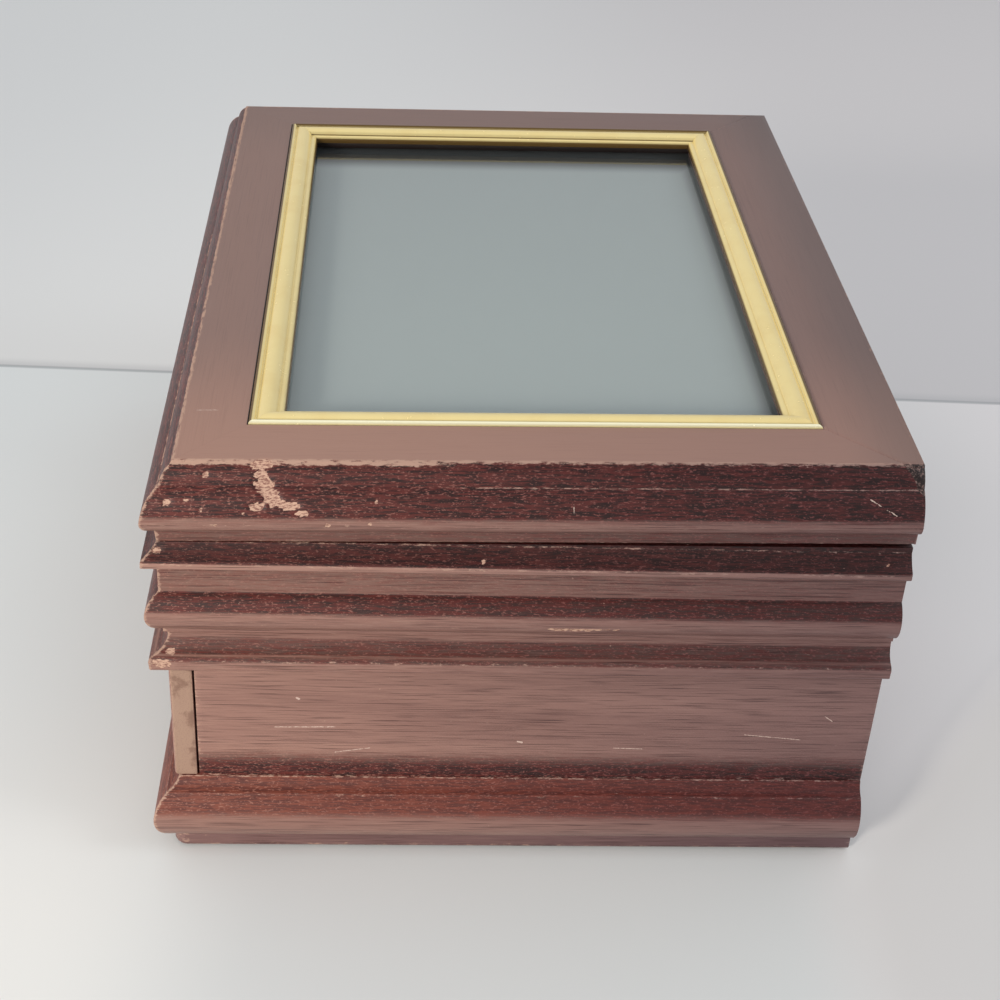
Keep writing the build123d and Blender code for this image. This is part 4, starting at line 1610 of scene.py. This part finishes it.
@dataclass(frozen=True)
class Compartment:
    """The felt-lined space under the lid, with its dividers and the cushion for rings."""

    rolls: int = 6
    slit: float = 3.4
    slack: float = 0.3
    crown: float = 0.25
    shoulder: float = 3.2
    droop: float = 2.2
    padding: float = 0.22

    def outline(self, low: Vector, high: Vector) -> list[Point]:
        """Draws the cushion's section, roll by roll.

        Args:
            low: The lowest corner of the cushion's place.
            high: Its highest corner.

        Returns:
            The closed section as (along Y, height), without its underside.
        """
        pitch = (high.y - low.y) / self.rolls
        crown, shoulder = high.z - self.crown, high.z - self.shoulder
        front, back = low.y + self.slack, high.y - self.slack
        points = [(front, low.z), (front, shoulder - 1.0)]
        for index in range(self.rolls):
            start = low.y + index * pitch
            left, right = start + self.slack, start + pitch - self.slack
            points += trace((left, shoulder), ((((left + right) / 2, crown), (right, shoulder)),), 0.7)
            if index < self.rolls - 1:
                points += [(right + gap, shoulder - self.slit) for gap in (0.1, 0.5)]
        return points + [(back, shoulder - 1.0), (back, low.z)]

    def cushion(self) -> None:
        """Makes the row of padded rolls, softened and drooping at their ends."""
        low, high = spot("ring_cushion")
        section = [(-across, height) for across, height in self.outline(low, high)]
        piece = Workpiece.swept(section, low.x, high.x, 2.5)
        bm = piece.mesh
        bmesh.ops.holes_fill(bm, edges=[e for e in bm.edges if e.is_boundary], sides=0)
        bmesh.ops.recalc_face_normals(bm, faces=bm.faces)
        bm.normal_update()
        for vert in bm.verts:
            if vert.co.z > low.z + 1:
                end = smooth(5.0, 0.0, min(vert.co.x - low.x, high.x - vert.co.x))
                vert.co.z -= self.droop * end * end
            if vert.co.z > low.z + 4:
                vert.co += vert.normal * (self.padding * noise.noise(vert.co * 0.11) - self.padding)
        piece.release("ring_cushion", "rolls", "case", FELT, crease=60)

    def build(self) -> None:
        """Makes the lining, the dividers and the cushion."""
        FeltSheet(*spot("compartment_felt")).build("compartment_felt", "case", "dust_board_wood")
        for node in ("long_divider", "cross_divider"):
            divider = Workpiece.from_node(node, ease=0.7, margin=1.0)
            divider.release(node, "felted", "case", FELT, slot="felt_board")
        self.cushion()


@dataclass(frozen=True)
class Drawer:
    """One drawer with its front, box, knob and felt."""

    word: str
    spacing: float = 0.3
    turns: int = 56

    def build(self) -> None:
        """Makes the drawer's wooden pieces, its felt and its knob."""
        body = f"{self.word}_drawer"
        front = Workpiece.from_node(f"{body}_front", ease=0.2, margin=0.8)
        front.mesh.normal_update()
        front.brush("raw", lambda vert: 1.0 if abs(vert.normal.x) > 0.8 else 0.0)
        front.lay_grain(Grain.ALONG_X, body).release(f"{body}_front", "wood", body, SHOWN_WOOD, crease=28)
        for part, grain in (("inner_wall", Grain.ALONG_Y), ("outer_wall", Grain.ALONG_Y),
                            ("back", Grain.ALONG_X), ("bottom", Grain.ALONG_X)):
            piece = Workpiece.from_node(f"{body}_{part}", ease=0.2, margin=0).lay_grain(grain, body + part)
            piece.release(f"{body}_{part}", "wood", body, PLAIN_WOOD, crease=20)
        FeltSheet(*spot(f"{body}_felt")).build(f"{body}_felt", body, f"{body}_bottom_wood")
        self.knob(body)

    def knob(self, body: str) -> None:
        """Turns the brass knob and drives its screw.

        Args:
            body: The drawer's body.
        """
        profile = list(KNOB_FOOT)
        for middle, end, *corners in KNOB_ARCS:
            profile += arc_points(profile[-1], middle, end, self.spacing) + corners
        piece = Workpiece()
        bm = piece.mesh
        line = [bm.verts.new((radius, 0, height)) for radius, height in profile]
        edges = [bm.edges.new(pair) for pair in zip(line, line[1:])]
        bmesh.ops.spin(bm, geom=line + edges, cent=(0, 0, 0), axis=(0, 0, 1), angle=math.tau,
                       steps=self.turns, use_merge=True)
        bmesh.ops.remove_doubles(bm, verts=bm.verts, dist=ON_PLANE)
        bmesh.ops.recalc_face_normals(bm, faces=bm.faces)
        low, high = spot(f"{body}_knob")
        foot = Matrix.Translation(((low.x + high.x) / 2, high.y, (low.z + high.z) / 2))
        piece.turn(foot @ Matrix.Rotation(math.pi / 2, 4, "X"))
        piece.release(f"{body}_knob", "brass", body, BRASS, crease=28)
        low, high = spot(f"{body}_knob_screw")
        head = Matrix.Translation(((low.x + high.x) / 2, high.y, (low.z + high.z) / 2))
        screw = Screw(head=2.8, head_height=1.6, shank=1.2, length=high.y - low.y, slot=0.35)
        screw.build(f"{body}_knob_screw", body, STEEL, [head @ Matrix.Rotation(-math.pi / 2, 4, "X")])


@dataclass(frozen=True)
class Lamp:
    """A soft square lamp, with the angle in degrees that its light opens to."""

    name: str
    place: Place
    aim: Place
    size: float
    power: float
    tint: Place
    spread: float

    def hang(self) -> None:
        """Hangs the lamp so that it faces its aim."""
        data = bpy.data.lights.new(self.name, "AREA")
        data.size, data.spread = self.size, math.radians(self.spread)
        data.energy, data.color = self.power, self.tint
        turn = (Vector(self.aim) - Vector(self.place)).to_track_quat("-Z", "Y")
        put(self.name, data, Matrix.Translation(self.place) @ turn.to_matrix().to_4x4())


@dataclass(frozen=True)
class Studio:
    """The floor, the lamps, the world and the camera."""

    lens: float = 63.36
    sensor: float = 36.0
    eye: Place = (0.42996, -0.03578, 0.31367)
    right: Place = (0.043184, 0.997788, 0.050531)
    down: Place = (0.548641, 0.018585, -0.835852)
    clip: Point = (0.01, 20.0)
    floor_size: float = 4.0
    seam: float = -125.6
    seam_slope: float = 0.031
    card_size: Place = (0.6, 1.7, 1.0)
    card_place: Place = (1.45, 0.1, 1.3)
    lamps: tuple[Lamp, ...] = (
        Lamp("key", (1.1, -0.9, 0.55), (0.13, -0.11, 0.06), 0.3, 0.5, (1.0, 0.93, 0.84), 27.0),
        Lamp("fill", (0.35, 1.1, 0.9), (0.0, 0.22, 0.0), 0.5, 0.4, (0.96, 0.98, 1.0), 60.0),
    )

    def camera(self) -> None:
        """Sets up the photograph's camera."""
        data = bpy.data.cameras.new("camera")
        data.lens, data.sensor_width = self.lens, self.sensor
        data.clip_start, data.clip_end = self.clip
        side, up = Vector(self.right), -Vector(self.down)
        turn = Matrix((side, up, side.cross(up))).transposed()
        bpy.context.scene.camera = put("camera", data, Matrix.Translation(self.eye) @ turn.to_4x4())

    @staticmethod
    def sheet(name: str, size: Place, material: bpy.types.Material, place: Matrix) -> bpy.types.Object:
        """Puts up a flat sheet that belongs to the studio.

        Args:
            name: The sheet's name.
            size: Half its size along its own axes.
            material: Its material.
            place: Where it is and how it is turned.

        Returns:
            The sheet.
        """
        bm = bmesh.new()
        bmesh.ops.create_grid(bm, x_segments=1, y_segments=1, size=1.0)
        bmesh.ops.scale(bm, vec=size, verts=bm.verts)
        mesh = bpy.data.meshes.new(name)
        bm.to_mesh(mesh)
        bm.free()
        mesh.materials.append(material)
        sheet = put(name, mesh, place)
        return sheet

    def floor(self) -> None:
        """Lays the pale table top, with the paler ground that starts behind the box, both with painted light
        and shade.
        """
        material = bpy.data.materials.new("table_top")
        graph = Graph(material)
        place = graph.place()
        x, y, _ = place.axes()
        # Painted light: the table is lighter towards -Y
        table = graph.mix(y.band(-170.0, -60.0), paint(222, 226, 226), paint(209, 212, 212))
        # Painted light towards +Y and over the box's cast shadow, painted shade on the lit table past that
        # shadow's edge, painted light near the front at -Y, then faint cloudy marks
        for share, tone in ((y.band(60.0, 200.0), paint(226, 222, 222)),
                            (y.band(60.0, 110.0) * x.band(-60.0, 30.0), paint(231, 228, 228)),
                            ((x * 0.84 + y).band(164.0, 190.0) * y.band(60.0, 90.0), paint(207, 205, 204)),
                            (y.band(-60.0, -120.0) * x.band(30.0, 140.0), paint(228, 228, 225)),
                            (place.noise(0.004).band(0.35, 0.65, 0.0, 0.15), paint(199, 198, 198))):
            table = table.under(share, tone)
        across = y * -self.seam_slope + x
        # Painted shade: the ground darkens towards +Y and by the seam
        ground = graph.mix(y.band(-150.0, 200.0), paint(222, 222, 221), paint(203, 200, 201))
        ground = ground.under(across.band(self.seam - 7.0, self.seam, 0.0, 0.5), paint(176, 176, 178))
        # Painted shade along the seam where the table meets the ground
        line = graph.math("ABSOLUTE", across - self.seam).band(1.4, 0.3)
        colour = table.under(across.band(self.seam + 0.1, self.seam - 0.6), ground)
        graph.close(Base_Color=colour.under(line * 0.6, paint(140, 144, 148)), Roughness=0.55)
        self.sheet("table_top", (self.floor_size, self.floor_size, 1.0), material, Matrix.Identity(4))

    def dark_card(self) -> None:
        """Hangs the dark card that only gloss mirrors, as the dim room over the camera does."""
        material = bpy.data.materials.new("dark_card")
        Graph(material).close(Base_Color=paint(92, 90, 92), Roughness=0.9)
        place = Vector(self.card_place)
        turn = place.to_track_quat("Z", "Y").to_matrix().to_4x4()
        card = self.sheet("dark_card", self.card_size, material, Matrix.Translation(place) @ turn)
        card.visible_camera = card.visible_diffuse = card.visible_shadow = card.visible_transmission = False

    def world(self) -> None:
        """Fills the room with soft grey light that shows as a pale backdrop."""
        world = bpy.data.worlds.new("room")
        bpy.context.scene.world = world
        graph = Graph(world, "OutputWorld")
        lit = graph.value("Background", {"Color": (0.95, 0.975, 1.0, 1.0), "Strength": 0.8})
        shown = graph.value("Background", {"Color": paint(208, 207, 209), "Strength": 1.0})
        seen = graph.ray("Camera", "Transmission", "Glossy")
        graph.show(graph.value("MixShader", {0: seen, 1: lit, 2: shown}))

    def build(self) -> None:
        """Sets the whole studio."""
        bpy.context.scene.view_settings.view_transform = "Standard"
        self.camera()
        self.floor()
        self.world()
        self.dark_card()
        for lamp in self.lamps:
            lamp.hang()


def main() -> None:
    """Builds the studio and then the box, assembly by assembly."""
    logging.basicConfig(level=logging.INFO, format="%(message)s")
    for assembly in (Studio(), Lid(), Cornice(), Base(), Carcass(), Hinges(), Compartment(), Drawer("left"),
                     Drawer("right")):
        assembly.build()


if __name__ == "__main__":
    main()
